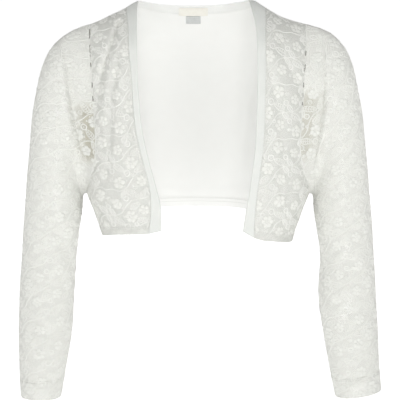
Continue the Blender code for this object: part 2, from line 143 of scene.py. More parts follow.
# Creases, soft troughs along lines seen from the front. Each starts at a place (x, level), and then has
# for each stretch its end, its depth, and how far it spreads to the viewer's left and right.
CREASES = {
    "front": [
        [(-181, -58), (-176.5, -90, 4.2, 2.2, 11), (-173.5, -121, 6.5, 2.4, 14), (-168.5, -154, 8.5, 2.6, 16),
         (-163, -182, 9.0, 2.8, 15), (-158, -214, 8.5, 3, 12), (-155, -250, 6.0, 3, 9)],
        [(168, -51), (170, -128, 4.0, 12, 2.6), (160, -214, 6.6, 14, 3), (157, -250, 4.5, 8, 2.6)],
        [(-112, -57), (-131, -105, 2.5, 7, 7)],
        [(106, -50), (137, -122, 2.5, 7, 7)],
        [(-204, -272), (-191, -308, 2.0, 3, 9), (-177, -353, 2.2, 3, 9)],
        [(-222, -190), (-213, -250, 1.2, 4, 7)],
        [(-215, -330), (-205, -372, 1.0, 4, 7)],
        [(164, -310), (190, -331, 2.0, 5, 3)],
        [(196, -268), (203, -315, 1.3, 7, 4)],
        [(214, -205), (205, -262, 1.2, 7, 4)],
        [(221, -352), (212, -395, 1.0, 7, 4)],
        [(-105, -30), (-115, -61, 5.5, 3.2, 4.5), (-123, -85, 7.0, 3.4, 5), (-130, -109, 6.0, 3.2, 5),
         (-132, -137, 4.0, 3, 5)],
        [(-103, -72), (-112, -124, 3.4, 6, 3.6), (-115, -189, 3.4, 7, 4), (-121, -236, 2.0, 7, 4)],
        [(-93, -120), (-88, -190, 1.2, 5, 4)],
        [(-128, -178), (-112, -256, 1.4, 4, 6)],
        [(96, -52), (114, -75, 2.2, 6, 3), (134, -106, 3.6, 6, 3.2)],
        [(88, -72), (101, -124, 2.4, 3.6, 6), (111, -189, 2.0, 4, 8), (108, -248, 1.4, 4, 7)],
        [(132, -190), (118, -262, 1.3, 5, 4)],
        [(-156, -141), (-148, -184, 1.6, 4, 3)],
        [(158, -150), (151, -190, 1.4, 3, 4)],
    ],
    "back": [
        [(-188, -80), (-166, -225, 4.0, 9, 9)],
        [(190, -90), (168, -235, 4.0, 9, 9)],
        [(-118, -70), (-98, -135, 2.0, 8, 8)],
        [(112, -60), (97, -142, 2.0, 8, 8)],
        [(-172, -60), (-168, -150, 4.6, 3, 11), (-160, -232, 5.2, 3, 10)],
        [(171, -66), (169, -140, 4.0, 12, 3), (160, -238, 5.2, 10, 3)],
        [(-208, -262), (-183, -318, 2.2, 4, 8)],
        [(-186, -340), (-214, -392, 1.6, 7, 4)],
        [(210, -255), (186, -322, 2.2, 8, 4)],
        [(189, -352), (216, -400, 1.5, 4, 7)],
        [(-104, -62), (-72, -150, 1.6, 5, 8), (-66, -232, 1.2, 6, 8)],
        [(98, -56), (70, -146, 1.7, 8, 5), (62, -240, 1.2, 8, 6)],
        [(-128, -170), (-112, -262, 1.4, 5, 7)],
        [(130, -176), (110, -266, 1.4, 7, 5)],
        [(-30, -60), (26, -70, 0.9, 5, 5)],
    ],
}
CUFF_TUCKS = [(-248, -513.5, -180, -513.5, 0.9, 2.2, 2.2), (254, -502, 182, -512.5, 0.9, 2.2, 2.2)]
RIPPLES = {"count": 10, "first": -366, "apart": 12.4, "spread": 3.2}
FOLDS = {face: [(*line[i][:2], *line[i + 1]) for line in lines for i in range(len(line) - 1)] + CUFF_TUCKS
         for face, lines in CREASES.items()}
# Ripples cross the lower sleeves, where the cloth has slipped down to the cuffs
for folds in FOLDS.values():
    for sign in SIDES.values():
        for i in range(RIPPLES["count"]):
            level = RIPPLES["first"] - RIPPLES["apart"] * i + 2.6 * math.sin(2.1 * i + sign)
            from_x, to_x = 226 - 3 * math.sin(1.7 * i), 190 + 9 * math.sin(2.9 * i + sign)
            folds.append((sign * from_x, level, sign * to_x, level + 5 * math.sin(1.3 * i + 2 * sign),
                          0.75 + 0.3 * math.sin(2.3 * i), RIPPLES["spread"], RIPPLES["spread"]))


def mix(a, b, share):
    return a + (b - a) * share


def read(table, name, at, key="level"):
    """A table's column on a smooth curve through its rows, where the key column has this value."""
    x = np.array(table[key], float)
    y = np.array(table[name], float)
    if x[0] > x[-1]:
        x, y = x[::-1], y[::-1]
    slope = np.gradient(y, x)
    at = np.clip(at, x[0], x[-1])
    i = np.clip(np.searchsorted(x, at) - 1, 0, len(x) - 2)
    span = x[i + 1] - x[i]
    t = (at - x[i]) / span
    rise = t * t * (3 - 2 * t)
    return mix(y[i], y[i + 1], rise) + span * t * (1 - t) * ((1 - t) * slope[i] - t * slope[i + 1])


def half_width(z):
    return read(BODY, "half_width", z) - LAYERS


def ridge(x):
    return read(RIDGE, "level", x, key="x") - LAYERS


def angle_of(x, z):
    """Angle round the body's section at which its cloth is this far out."""
    share = np.minimum(np.abs(x) / half_width(z), 1.0)
    return np.copysign(np.arcsin(share ** (SQUARENESS / 2)), x)


def out_at(angle, z):
    return np.copysign(half_width(z) * np.abs(np.sin(angle)) ** (2 / SQUARENESS), angle)


def fold(face, x, z):
    """Depth of the creases at places seen from the front."""
    total = np.zeros(np.broadcast(x, z).shape)
    for from_x, from_z, to_x, to_z, depth, left, right in FOLDS[face]:
        run_x, run_z = to_x - from_x, to_z - from_z
        share = np.clip(((x - from_x) * run_x + (z - from_z) * run_z) / (run_x**2 + run_z**2), 0, 1)
        away = np.hypot(x - from_x - share * run_x, z - from_z - share * run_z)
        spread = np.where(run_x * (z - from_z) > run_z * (x - from_x), right, left)
        total = np.maximum(total, depth * np.exp(-(away / spread) ** 2))
    return total


def body_point(face, x, z):
    depth = read(BODY, face, z) - LAYERS
    round_side = np.maximum(0, 1 - (np.abs(x) / half_width(z)) ** SQUARENESS) ** (1 / SQUARENESS)
    drop = np.maximum(0, ridge(x) - z)
    round_top = np.sqrt(1 - np.maximum(0, 1 - drop / SHOULDER_ROUND) ** 2)
    y = depth * round_side * round_top
    y = y - fold(face, x, z) * np.minimum(1, 2 * round_side * round_top)
    return np.stack(np.broadcast_arrays(x, -y if face == "front" else y, z), axis=-1)


def hem_level(face, side, x):
    return read(HEM[face + " " + side], "level", np.abs(x), key="x")


def share_above(row):
    """Share of the way from a shoulder to the foot of the armholes, at a row of cells."""
    return (1 - np.cos(math.pi * np.minimum(row, ARMHOLE_CELLS) / ARMHOLE_CELLS)) / 2


def row_level(row, top, hem):
    above = mix(top, UNDERARM, share_above(row))
    return np.where(row <= ARMHOLE_CELLS, above, mix(UNDERARM, hem, (row - ARMHOLE_CELLS) / SIDE_CELLS))


def armhole_angle(face, row):
    depth = read(ARMHOLE, face, 180 * np.minimum(row, ARMHOLE_CELLS) / ARMHOLE_CELLS, key="turn")
    return np.arcsin(np.sqrt(1 - np.maximum(depth, 0) ** SQUARENESS))


def half_panel(face, side, top, start_x):
    """Points from a start line out to the armhole and side seam, rows from the top down."""
    sign = SIDES[side]
    top = np.array(top)
    last = len(top) - 1
    column = np.arange(last + 1)
    row = np.arange(ARMHOLE_CELLS + SIDE_CELLS + 1)[:, None]
    top_angles = angle_of(top[:, 0], top[:, 1])
    top_shares = (top_angles - top_angles[0]) / (top_angles[-1] - top_angles[0])
    side_z = HEM["front " + side]["level"][-1]
    hem_start = angle_of(start_x(side_z), side_z)
    hem = hem_level(face, side, out_at(mix(hem_start, sign * math.pi / 2, column / last), side_z))
    hem[-1] = side_z
    begin_z = row_level(row, top[0, 1], hem[0])
    begin = np.where(row > 0, angle_of(start_x(begin_z), begin_z), top_angles[0])
    z = row_level(row, top[:, 1], hem)
    share = mix(top_shares, column / last, share_above(row))
    return body_point(face, out_at(mix(begin, sign * armhole_angle(face, row), share), z), z)


def shoulder_columns(side):
    sign = SIDES[side]
    outer = abs(out_at(armhole_angle("front", 0), ridge(sign * SHOULDER_TIP)))
    xs = sign * np.linspace(FRONT[side]["lace"][0], outer, SHOULDER_CELLS + 1)
    return [(x, ridge(x)) for x in xs]


def neck_line(share, name, drop):
    """A point of the back neck's edge or band seam; share runs from -1, at the wearer's right, to 1."""
    side = "right" if share < 0 else "left"
    x = mix(NECK_CENTRE, SIDES[side] * FRONT[side][name][0], abs(share))
    return x, ridge(x) - drop * (1 - share * share)


def front_panel(side):
    def band_seam(z):
        return SIDES[side] * read(FRONT[side], "lace", z)

    return half_panel("front", side, shoulder_columns(side), band_seam)


def back_panel():
    halves = []
    for side, sign in SIDES.items():
        neck = [neck_line(sign * i * 2 / NECK_CELLS, "lace", NECK_SEAM_DROP) for i in range(NECK_CELLS // 2)]
        halves.append(half_panel("back", side, neck + shoulder_columns(side), lambda z: NECK_CENTRE + 0 * z))
    return np.concatenate([halves[0][:, :0:-1], halves[1]], axis=1)


def front_band(side):
    sign = SIDES[side]
    edge = FRONT[side]["edge"]
    start = front_panel(side)[:, :1]
    row = np.arange(len(start))[:, None]
    z_edge = row_level(row, ridge(sign * edge[0]), hem_level("front", side, edge[-1]))
    x_edge = sign * np.where(row > 0, read(FRONT[side], "edge", z_edge), edge[0])
    part = np.array(BAND_PARTS)
    x = mix(start[..., 0], x_edge, part)
    z = np.where(row > 0, mix(start[..., 2], z_edge, part), ridge(x))
    return np.concatenate([start, body_point("front", x, z)[:, 1:]], axis=1)


def neck_band():
    grid = []
    for part in BAND_PARTS:
        line = []
        for share in np.linspace(-1, 1, NECK_CELLS + 1):
            seam = neck_line(share, "lace", NECK_SEAM_DROP)
            edge = neck_line(share, "edge", NECK_DROP)
            x, z = mix(seam[0], edge[0], part), mix(seam[1], edge[1], part)
            line.append(body_point("back", x, ridge(x) if abs(share) == 1 else z))
        grid.append(line)
    return np.array(grid)


def sleeve_formula(side, row, turn):
    """Points of a sleeve; row counts its table's rows, turn runs right round from the outer side."""
    table = SLEEVE[side]
    key = dict(table, row=list(range(len(table["web"]))))
    value = {name: read(key, name, row, key="row") for name in table}
    outer = np.stack([value["outer_x"], value["outer_z"]], axis=-1)
    inner = np.stack([value["inner_x"], value["inner_z"]], axis=-1)
    along = (outer - inner) / np.linalg.norm(outer - inner, axis=-1, keepdims=True) * LAYERS
    inward = (1 - np.cos(turn)) / 2
    place = mix(outer - along, inner + along, inward[..., None])
    x, z = place[..., 0], place[..., 1]
    near = np.clip((inward - WEB_FROM) / (1 - WEB_FROM), 0, 1)
    pulled_in = 1 - value["web"] * near * near * (3 - 2 * near)
    depth = (value["half_depth"] - LAYERS) * np.abs(np.sin(turn)) * pulled_in
    front = turn <= math.pi
    creases = np.where(front, fold("front", SIDES[side] * x, z), fold("back", SIDES[side] * x, z))
    depth = depth - creases * np.abs(np.sin(turn))
    return np.stack([SIDES[side] * x, value["mid_y"] + np.where(front, -depth, depth), z], axis=-1)


def sleeve(side, front, back):
    """Points of a sleeve, a ring a row, its first ring sewn to both panels' armholes."""
    column = -1 if side == "left" else 0
    armhole = np.concatenate([front[:ARMHOLE_CELLS + 1, -1], back[ARMHOLE_CELLS - 1:0:-1, column]])
    turn = 2 * math.pi * np.arange(len(armhole)) / len(armhole)
    row = (len(SLEEVE[side]["web"]) - 1) * np.arange(SLEEVE_CELLS + 1) / SLEEVE_CELLS
    rows, turns = np.meshgrid(row, turn, indexing="ij")
    shift = armhole - sleeve_formula(side, np.zeros(len(turn)), turn)
    fade = np.maximum(0, 1 - rows / 4) ** 2
    return sleeve_formula(side, rows, turns) + shift * fade[..., None]


def cells(grid, closed):
    """The four corners of every cell of a grid; a closed grid goes right round."""
    g = np.concatenate([grid, grid[:, :1]], axis=1) if closed else grid
    return g[:-1, :-1], g[:-1, 1:], g[1:, 1:], g[1:, :-1]


def facing_out(grid, closed=False):
    """The grid with its columns in the order that makes its cells face out."""
    a, b, c, d = cells(grid, closed)
    normal = np.cross(c - a, d - b)
    middle = (a + c) / 2
    away = middle - grid[:-1].mean(axis=1, keepdims=True) if closed else middle * [1, 1, 0]
    return grid if (normal * away).sum() > 0 else grid[:, ::-1]


def own_normals(grid, closed):
    a, b, c, d = cells(grid, closed)
    normal = np.cross(c - a, d - b)
    rows, columns = grid.shape[:2]
    total = np.zeros((rows, columns + closed, 3))
    for down in (slice(0, -1), slice(1, None)):
        for across in (slice(0, -1), slice(1, None)):
            total[down, across] += normal
    if closed:
        total[:, 0] += total[:, -1]
        total = total[:, :-1]
    return total / np.linalg.norm(total, axis=-1, keepdims=True)


def shared_normals(grids):
    """For each grid a direction for each point, the same for all pieces that meet there."""
    own = {name: own_normals(grid, closed) for name, (grid, closed) in grids.items()}
    meeting = {}
    for name, (grid, closed) in grids.items():
        for place, unit in zip(map(tuple, np.round(grid.reshape(-1, 3), 2)), own[name].reshape(-1, 3)):
            meeting.setdefault(place, []).append(unit)
    directions = {}
    for place, units in meeting.items():
        total = np.sum(units, axis=0)
        length = np.linalg.norm(total)
        directions[place] = total / length * min(len(units) / length, LONGEST_MITRE)
    result = {}
    for name, (grid, closed) in grids.items():
        found = [directions[place] for place in map(tuple, np.round(grid.reshape(-1, 3), 2))]
        result[name] = np.array(found).reshape(grid.shape)
    return result


back = back_panel()
grids = {"back": (facing_out(back), False), "neck_band": (facing_out(neck_band()), False)}
for side in SIDES:
    front = front_panel(side)
    grids["front_" + side] = (facing_out(front), False)
    grids["band_" + side] = (facing_out(front_band(side)), False)
    tube = facing_out(sleeve(side, front, back), True)
    grids["sleeve_" + side] = (np.roll(tube, -tube[0, :, 2].argmin(), axis=1), True)
normals = shared_normals(grids)

# Lining: fine white jersey under the lace of the back and both fronts.
# It is cut like the lace and sewn in with it; the back's inner side shows through the open front.
LINING_SKIN, LINING_HEM_SKIN = (0.1, 0.9), (-0.55, -0.05)
LINING_HEM, LINING_FOLD = 13.0, 0.4
BODY_PANELS = ("back", "front_right", "front_left")
# Wales and courses of the jersey to a metre
WALES, COURSES = 1100.0, 1450.0


def drawn_back(grid, edges):
    """The grid drawn back by half a seam gap along the named edges."""
    out = grid.copy()
    for name, line, inner in (("top", np.s_[0], np.s_[1]), ("first", np.s_[:, 0], np.s_[:, 1]),
                              ("last", np.s_[:, -1], np.s_[:, -2])):
        if name in edges:
            run = grid[inner] - grid[line]
            out[line] += run / np.linalg.norm(run, axis=-1, keepdims=True) * (SEAM_GAP / 2)
    return out


FLAT_ROWS = {"apart": 5, "least": 3, "most": 34}
FLAT_COLUMNS = {"apart": 8, "least": 2, "most": 26}
FLAT_ROUNDS, FLAT_PULL = 1500, 0.12


def even_lines(steps, apart, least, most):
    """Distances of a grid's lines, and the numbers of those about evenly spaced, ends included."""
    at = np.concatenate([[0], np.cumsum(steps)])
    number = int(np.clip(steps.sum() / apart, least, most))
    return at, np.unique(np.abs(at[:, None] - np.linspace(0, at[-1], number)).argmin(axis=0))


def filled_in(lines, at, kept):
    """Places at all of a grid's lines, from those of the lines kept."""
    return np.array([[np.interp(at, at[kept], line[:, k]) for k in (0, 1)] for line in lines])


def laid_flat(grid, closed):
    """Each point's place in the flat cut: springs with the cloth's own lengths are let go in a plane."""
    if closed:
        grid = np.concatenate([grid, grid[:, :1]], axis=1)
    row_steps = np.linalg.norm(np.diff(grid, axis=0), axis=-1).mean(axis=1)
    column_steps = np.linalg.norm(np.diff(grid, axis=1), axis=-1).mean(axis=0)
    row_at, r = even_lines(row_steps, **FLAT_ROWS)
    column_at, c = even_lines(column_steps, **FLAT_COLUMNS)
    net = grid[np.ix_(r, c)]
    middle = len(c) // 2
    across = np.linalg.norm(np.diff(net, axis=1), axis=-1)
    down = np.linalg.norm(np.diff(net, axis=0), axis=-1)
    x = -np.concatenate([np.zeros((len(r), 1)), np.cumsum(across, axis=1)], axis=1)
    y = -np.concatenate([np.zeros((1, len(c))), np.cumsum(down, axis=0)])
    flat = np.stack([x - x[:, middle:middle + 1], y - y[-1]], axis=-1)
    springs = []
    for here, there in ((np.s_[:, :-1], np.s_[:, 1:]), (np.s_[:-1], np.s_[1:]),
                        (np.s_[:-1, :-1], np.s_[1:, 1:]), (np.s_[:-1, 1:], np.s_[1:, :-1])):
        springs.append((here, there, np.linalg.norm(net[here] - net[there], axis=-1)))
    for _ in range(FLAT_ROUNDS):
        push = np.zeros(flat.shape)
        for here, there, length in springs:
            run = flat[there] - flat[here]
            now = np.linalg.norm(run, axis=-1)
            move = run * ((now - length) / np.maximum(now, 1e-6))[..., None] * FLAT_PULL
            push[here] += move
            push[there] -= move
        flat += push
    wide = filled_in(flat, column_at, c)
    return filled_in(wide.transpose(2, 0, 1), row_at, r).transpose(2, 0, 1)


flats = {name: laid_flat(grid, closed) for name, (grid, closed) in grids.items()}


def from_hem(grid):
    """How far each point is above the hem, along the cloth."""
    steps = np.linalg.norm(np.diff(grid, axis=0), axis=-1)
    return np.concatenate([np.cumsum(steps[::-1], axis=0)[::-1], np.zeros((1, grid.shape[1]))])


def crossing(far, distance, *tables):
    """Each table's values across the cloth, at this distance along every column."""
    if far[0, 0] > far[-1, 0]:
        far, tables = far[::-1], [table[::-1] for table in tables]
    distance = np.broadcast_to(distance, far.shape[1])
    return [np.array([[np.interp(d, far[:, c], table[:, c, k]) for k in range(table.shape[-1])]
                      for c, d in enumerate(distance)]) for table in tables]


def round_again(table, closed):
    return np.concatenate([table, table[:, :1]], axis=1) if closed else table


def strip(name, closed, distances, from_top=False):
    """Points, directions and flat cut of a strip of a panel, a row at each distance from its hem or top."""
    grid, outward = round_again(grids[name][0], closed), round_again(normals[name], closed)
    far = from_hem(grid[::-1])[::-1] if from_top else from_hem(grid)
    rows = [crossing(far, distance, grid, outward, flats[name]) for distance in distances]
    points, outward, flat = (np.array(part) for part in zip(*rows))
    return (points[:, :-1], outward[:, :-1], flat) if closed else (points, outward, flat)


SHARP = math.radians(50)


def shell(name, grid, outward, skin, flat, closed=False, share=1.0, spread=None):
    """A thin wall of cloth between two heights above its form, with its flat cut in metres as its UV map."""
    low, high = skin
    rows, columns = grid.shape[:2]
    half = (high - low) / 2 * np.broadcast_to(share, (rows, columns))[..., None]
    skins = [grid + outward * ((low + high) / 2 + half), grid + outward * ((low + high) / 2 - half)]
    faces, places = [], []

    def face(corners, sides):
        faces.append([(side * rows + r) * columns + c % columns for (r, c), side in zip(corners, sides)])
        places.extend(corners)

    across = columns if closed else columns - 1
    for r in range(rows - 1):
        for c in range(across):
            corners = [(r, c), (r, c + 1), (r + 1, c + 1), (r + 1, c)]
            face(corners, (0, 0, 0, 0))
            face(corners[::-1], (1, 1, 1, 1))
    rim = [((0, c), (0, c + 1)) for c in range(across)]
    rim += [((rows - 1, c + 1), (rows - 1, c)) for c in range(across)]
    if not closed:
        rim += [((r, columns - 1), (r + 1, columns - 1)) for r in range(rows - 1)]
        rim += [((r + 1, 0), (r, 0)) for r in range(rows - 1)]
    for here, after in rim:
        face([after, here, here, after], (0, 0, 1, 1))
    mesh = bpy.data.meshes.new(name)
    mesh.from_pydata(np.concatenate([skin.reshape(-1, 3) for skin in skins]) * MM, [], faces)
    at = np.array(places)
    mesh.uv_layers.new(name="flat").data.foreach_set("uv", (flat[at[:, 0], at[:, 1]] * MM).ravel())
    if spread is not None:
        values = np.tile(np.broadcast_to(spread, (rows, columns)).ravel(), 2)
        mesh.attributes.new("spread", "FLOAT", "POINT").data.foreach_set("value", values.astype(np.float32))
    mesh.shade_smooth()
    mesh.set_sharp_from_angle(angle=SHARP)
    return placed(name, mesh)


def placed(name, mesh):
    thing = bpy.data.objects.new(name, mesh)
    bpy.context.scene.collection.objects.link(thing)
    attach(thing, "root")
    return thing


def made_up(piece, material, node=None):
    """Gives a piece its cloth and slot, and hides the solid that it stands for.
    """
    piece.data.materials.append(material)
    if node:
        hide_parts(node)


def wire(tree, kind, *inputs, out=0, **settings):
    """A new node in a tree, its inputs set or linked in order; gives its output."""
    node = tree.nodes.new(kind)
    for name, value in settings.items():
        setattr(node, name, value)
    for socket, value in zip(node.inputs, inputs):
        if isinstance(value, bpy.types.NodeSocket):
            tree.links.new(value, socket)
        elif value is not None:
            socket.default_value = value
    return node.outputs[out]


def count(tree, how, *values):
    return wire(tree, "ShaderNodeMath", *values, operation=how)


def cloth(name, dark, pale, sheen, roughness=(0.78, 0.92), patch=45.0, thread=False):
    """A matt cloth whose colour and gloss vary a little over the cut, or over the object for a thread."""
    material = bpy.data.materials.new(name)
    material.use_nodes = True
    tree = material.node_tree
    shader = tree.nodes["Principled BSDF"]
    shader.inputs["Sheen Weight"].default_value = sheen
    shader.inputs["Sheen Roughness"].default_value = 0.5
    shader.inputs["Specular IOR Level"].default_value = 0.25
    if thread:
        place = wire(tree, "ShaderNodeTexCoord").node.outputs["Object"]
    else:
        place = wire(tree, "ShaderNodeUVMap", uv_map="flat")
    blotch = wire(tree, "ShaderNodeTexNoise", place, None, patch, 4.0, 0.6)
    ramp = tree.nodes.new("ShaderNodeValToRGB")
    for stop, at, colour in zip(ramp.color_ramp.elements, (0.35, 0.65), (dark, pale)):
        stop.position, stop.color = at, (*colour, 1)
    tree.links.new(blotch, ramp.inputs["Fac"])
    tree.links.new(ramp.outputs["Color"], shader.inputs["Base Color"])
    tree.links.new(wire(tree, "ShaderNodeMapRange", blotch, 0.3, 0.7, *roughness), shader.inputs["Roughness"])
    return material, tree, shader, place, ramp.outputs["Color"]


def raise_up(tree, shader, height, strength, distance):
    bump = tree.nodes.new("ShaderNodeBump")
    bump.inputs["Strength"].default_value = strength
    bump.inputs["Distance"].default_value = distance
    tree.links.new(height, bump.inputs["Height"])
    tree.links.new(bump.outputs["Normal"], shader.inputs["Normal"])


def jersey(name, dark, pale):
    """Fine plain jersey: upright wales of small V stitches."""
    material, tree, shader, cut, colour = cloth(name, dark, pale, 0.15)
    parts = wire(tree, "ShaderNodeSeparateXYZ", cut).node.outputs
    wale = count(tree, "PINGPONG", count(tree, "MULTIPLY", parts[0], WALES), 0.5)
    stitch = count(tree, "PINGPONG", count(tree, "MULTIPLY_ADD", parts[1], COURSES, wale), 0.5)
    raise_up(tree, shader, count(tree, "MULTIPLY_ADD", wale, 0.8, stitch), 0.5, 0.00025)
    return material


lining_jersey = jersey("lining jersey", (0.93, 0.932, 0.912), (0.94, 0.942, 0.922))
for name in BODY_PANELS:
    grid = drawn_back(grids[name][0], ("top", "first", "last"))
    lining = shell("jersey_" + name, grid, normals[name], LINING_SKIN, flats[name])
    made_up(lining, lining_jersey, "lining_" + name)
    points, outward, flat = strip(name, False, np.linspace(LINING_HEM, LINING_FOLD, 6))
    edge = shell("lining_hem_" + name, points, outward, LINING_HEM_SKIN, flat)
    made_up(edge, lining_jersey)

# Lace: net of fine thread in lozenges, over the lining and alone in the sleeves.
# Its holes go right through, and it is pulled wide open in front of both underarms, where its colour is also
# darkened and creamed as painted shade.
NET_PITCH, NET_SLANT = 0.0014, 0.62
NET_SKIN = (1.35, 1.8)
NET_HIGH = NET_SKIN[1]
# The thread's width as a share of the mesh, and its dark and pale tones
NETS = {
    "body": (0.26, (0.69, 0.7, 0.655), (0.74, 0.74, 0.7)),
    "sleeve": (0.3, (0.735, 0.74, 0.7), (0.765, 0.765, 0.725)),
}
# Thread width where the net is pulled open, and the colour of the painted shade it takes there
SPREAD_THREAD, PAINTED_UNDERARM_SHADE = 0.12, (0.66, 0.645, 0.56)
# Levels between which a sleeve's net is pulled open and darkened as painted shade, how far from its seam, and
# how much
UNDERARM_SPREAD_AND_SHADE = {"sleeve_right": (-130, -216, 24, 1.0), "sleeve_left": (-112, -212, 22, 0.55)}
SPREAD_FADE = 14


def tinted(tree, shader, colour, attribute, other, most=1.0):
    """Makes the base colour go over to another where the piece's own attribute says so."""
    mixed = tree.nodes.new("ShaderNodeMix")
    mixed.data_type = "RGBA"
    much = wire(tree, "ShaderNodeAttribute", attribute_name=attribute, out=2)
    tree.links.new(count(tree, "MULTIPLY", much, most), mixed.inputs["Factor"])
    tree.links.new(colour, mixed.inputs["A"])
    mixed.inputs["B"].default_value = (*other, 1)
    tree.links.new(mixed.outputs["Result"], shader.inputs["Base Color"])


def net(name, thread_wide, dark, pale):
    material, tree, shader, cut, colour = cloth(name, dark, pale, 0.2)
    parts = wire(tree, "ShaderNodeSeparateXYZ", cut).node.outputs
    rise = count(tree, "MULTIPLY", parts[1], 0.5 / NET_PITCH)
    threads = [count(tree, "PINGPONG", count(tree, "MULTIPLY_ADD", parts[0], across / NET_PITCH, rise), 0.5)
               for across in (NET_SLANT, -NET_SLANT)]
    nearest = count(tree, "MINIMUM", *threads)
    spread = wire(tree, "ShaderNodeAttribute", attribute_name="spread", out=2)
    width = wire(tree, "ShaderNodeMapRange", spread, 0.0, 1.0, thread_wide, SPREAD_THREAD)
    inside = count(tree, "SUBTRACT", width, nearest)
    thread = wire(tree, "ShaderNodeMapRange", inside, -0.02, 0.04, 0.0, 1.0)
    tree.links.new(thread, shader.inputs["Alpha"])
    # Painted shade: the net goes darker and creamer where it is pulled open in front of the underarm
    tinted(tree, shader, colour, "spread", PAINTED_UNDERARM_SHADE)
    raise_up(tree, shader, thread, 0.35, 0.0002)
    return material


def at_underarm(places, above, below):
    """1 in front of the underarm between two levels, fading to 0 just past them."""
    level = places[..., 2]
    within = np.clip((above - level) / SPREAD_FADE, 0, 1) * np.clip((level - below) / SPREAD_FADE, 0, 1)
    return within * (places[..., 1] < 0)


lace_nets = {part: net("lace net of the " + part, *looks) for part, looks in NETS.items()}
PANELS = {"lace_back": "back", "lace_front_right": "front_right", "lace_front_left": "front_left",
          "sleeve_right": "sleeve_right", "sleeve_left": "sleeve_left"}
panels = {}
for node, name in PANELS.items():
    grid, closed = grids[name]
    grid = drawn_back(grid, ("top",) if closed else ("top", "first", "last"))
    spread = np.zeros(grid.shape[:2])
    if name in UNDERARM_SPREAD_AND_SHADE:
        above, below, reach, most = UNDERARM_SPREAD_AND_SHADE[name]
        from_seam = from_hem(grid[::-1])[::-1]
        near = np.clip(2 - 2 * from_seam / reach, 0, 1) + 0.5 * np.clip(2 - from_seam / reach, 0, 1)
        spread = most * at_underarm(grid, above, below) * np.minimum(near, 1)
    piece = shell("net_" + node, grid, normals[name], NET_SKIN, flats[name], closed, spread=spread)
    made_up(piece, lace_nets["sleeve" if closed else "body"], node)
    panels[node] = (grid, name, closed)

# Turned edges: the same net, doubled at every lower edge of the lace and stitched down.
# It is folded up inside each cuff, and lies as a plain edge outside each hem.
CUFF_TURNING, CUFF_SKIN = 28.5, (0.5, 0.95)
HEM_TURNING, HEM_SKIN = 10.3, (2.0, 2.35)
for name in ("sleeve_right", "sleeve_left", "front_right", "front_left", "back"):
    closed = grids[name][1]
    reach, skin = (CUFF_TURNING, CUFF_SKIN) if closed else (HEM_TURNING, HEM_SKIN)
    points, outward, flat = strip(name, closed, np.linspace(reach, 0, 8))
    edge = shell("edge_" + name, points, outward, skin, flat, closed, spread=0.0)
    made_up(edge, lace_nets["sleeve" if closed else "body"])

# Flowers, rings, leaves and stems: worked in thicker white thread on the net, in one repeat.
# The repeat is laid in columns over each flat cut, every other one turned, and follows the cloth from there.
REPEAT_WIDE, REPEAT_HIGH = 60.0, 72.0
# Heights over the net: petals and dots at their middle, rim and foot, and cords at their top and foot
PAD_TOP, PAD_EDGE, PAD_FOOT = 0.32, 0.12, -0.2
STRAND_TOP, STRAND_FOOT = 0.4, -0.15
# Place, reach, number of petals and turn of each flower
FLOWERS = [(14, 19, 8.4, 5, 10), (45, 23, 7.6, 6, 25), (30, 46, 8.8, 6, 0), (48, 56, 7.2, 5, 40),
           (11, 62, 7.4, 5, 75)]
# Place and radius
RINGS = [(25, 32, 3.9), (57, 10, 3.4), (58, 65, 3.0), (25, 70, 3.4), (37.5, 36, 2.4), (3, 33, 3.2)]
DOTS = [(24, 22, 1.2), (20, 45, 1.2), (57, 46.5, 1.3), (6, 28, 1.2), (39, 49.5, 1.1), (52, 69, 1.1),
        (17.5, 72, 1.2), (38, 40, 1.0), (30, 56, 1.0), (43, 33, 1.0), (22, 15, 1.0)]
# Place, length, width and turn
LEAVES = [(33, 6, 18, 8, -28), (55, 31, 15, 7, 75), (13, 38, 17, 8, -25), (36, 60.5, 15, 7, 35),
          (3.5, 49, 12, 6, -50), (21, 4, 11, 6, 60), (46, 42.5, 14, 6.5, 10), (47, 6, 13, 6, 60)]
STEMS = [
    [(-11, 2), (0, 9), (7, 9.5), (16, 7.5), (25, 13), (31, 23), (39, 33), (49, 38), (60, 45), (67, 45.5)],
    [(-6, 39), (0, 45), (9, 46), (18, 51), (24, 60), (33, 68), (44, 71), (54, 75), (60, 81), (69, 82)],
]
# Place, radius and turn
CURLS = [(36, 14.5, 3.8, 0), (20.5, 57, 2.8, 140), (58, 52, 3.0, 220), (2.5, 21, 2.6, 60),
         (33, 31, 3.0, 200), (52, 12, 2.6, 20)]


def circle(radius, sides):
    return [(radius * math.cos(a), radius * math.sin(a)) for a in np.linspace(0, 2 * math.pi, sides + 1)[:-1]]


def turned(points, angle, x, y):
    c, s = math.cos(math.radians(angle)), math.sin(math.radians(angle))
    return [(x + c * u - s * v, y + s * u + c * v) for u, v in points]


def skinned(bm, rings, right_round=False):
    """Faces from each ring of points to the next."""
    for here, there in zip(rings, rings[1:]):
        for k in range(len(here) if right_round else len(here) - 1):
            after = (k + 1) % len(here)
            bm.faces.new((here[k], here[after], there[after], there[k]))


def pad(bm, outline, middle, tone=0.0):
    """A raised worked shape: nearly flat within its outline, with its edge down in the net."""
    x, y = middle
    rings = [[(*middle, PAD_TOP)] * len(outline)]
    for share, height in ((0.72, PAD_TOP), (1, PAD_EDGE), (1, PAD_FOOT)):
        rings.append([(mix(x, u, share), mix(y, v, share), height) for u, v in outline])
    centre = bm.verts.new(rings[0][0])
    rings = [[bm.verts.new(point) for point in ring] for ring in rings[1:]]
    for vert in [centre] + sum(rings, []):
        vert[bm.verts.layers.float["tone"]] = tone
    for i in range(len(outline)):
        j = (i + 1) % len(outline)
        bm.faces.new((centre, rings[0][i], rings[0][j]))
        for inner, outer in zip(rings, rings[1:]):
            bm.faces.new((inner[i], outer[i], outer[j], inner[j]))


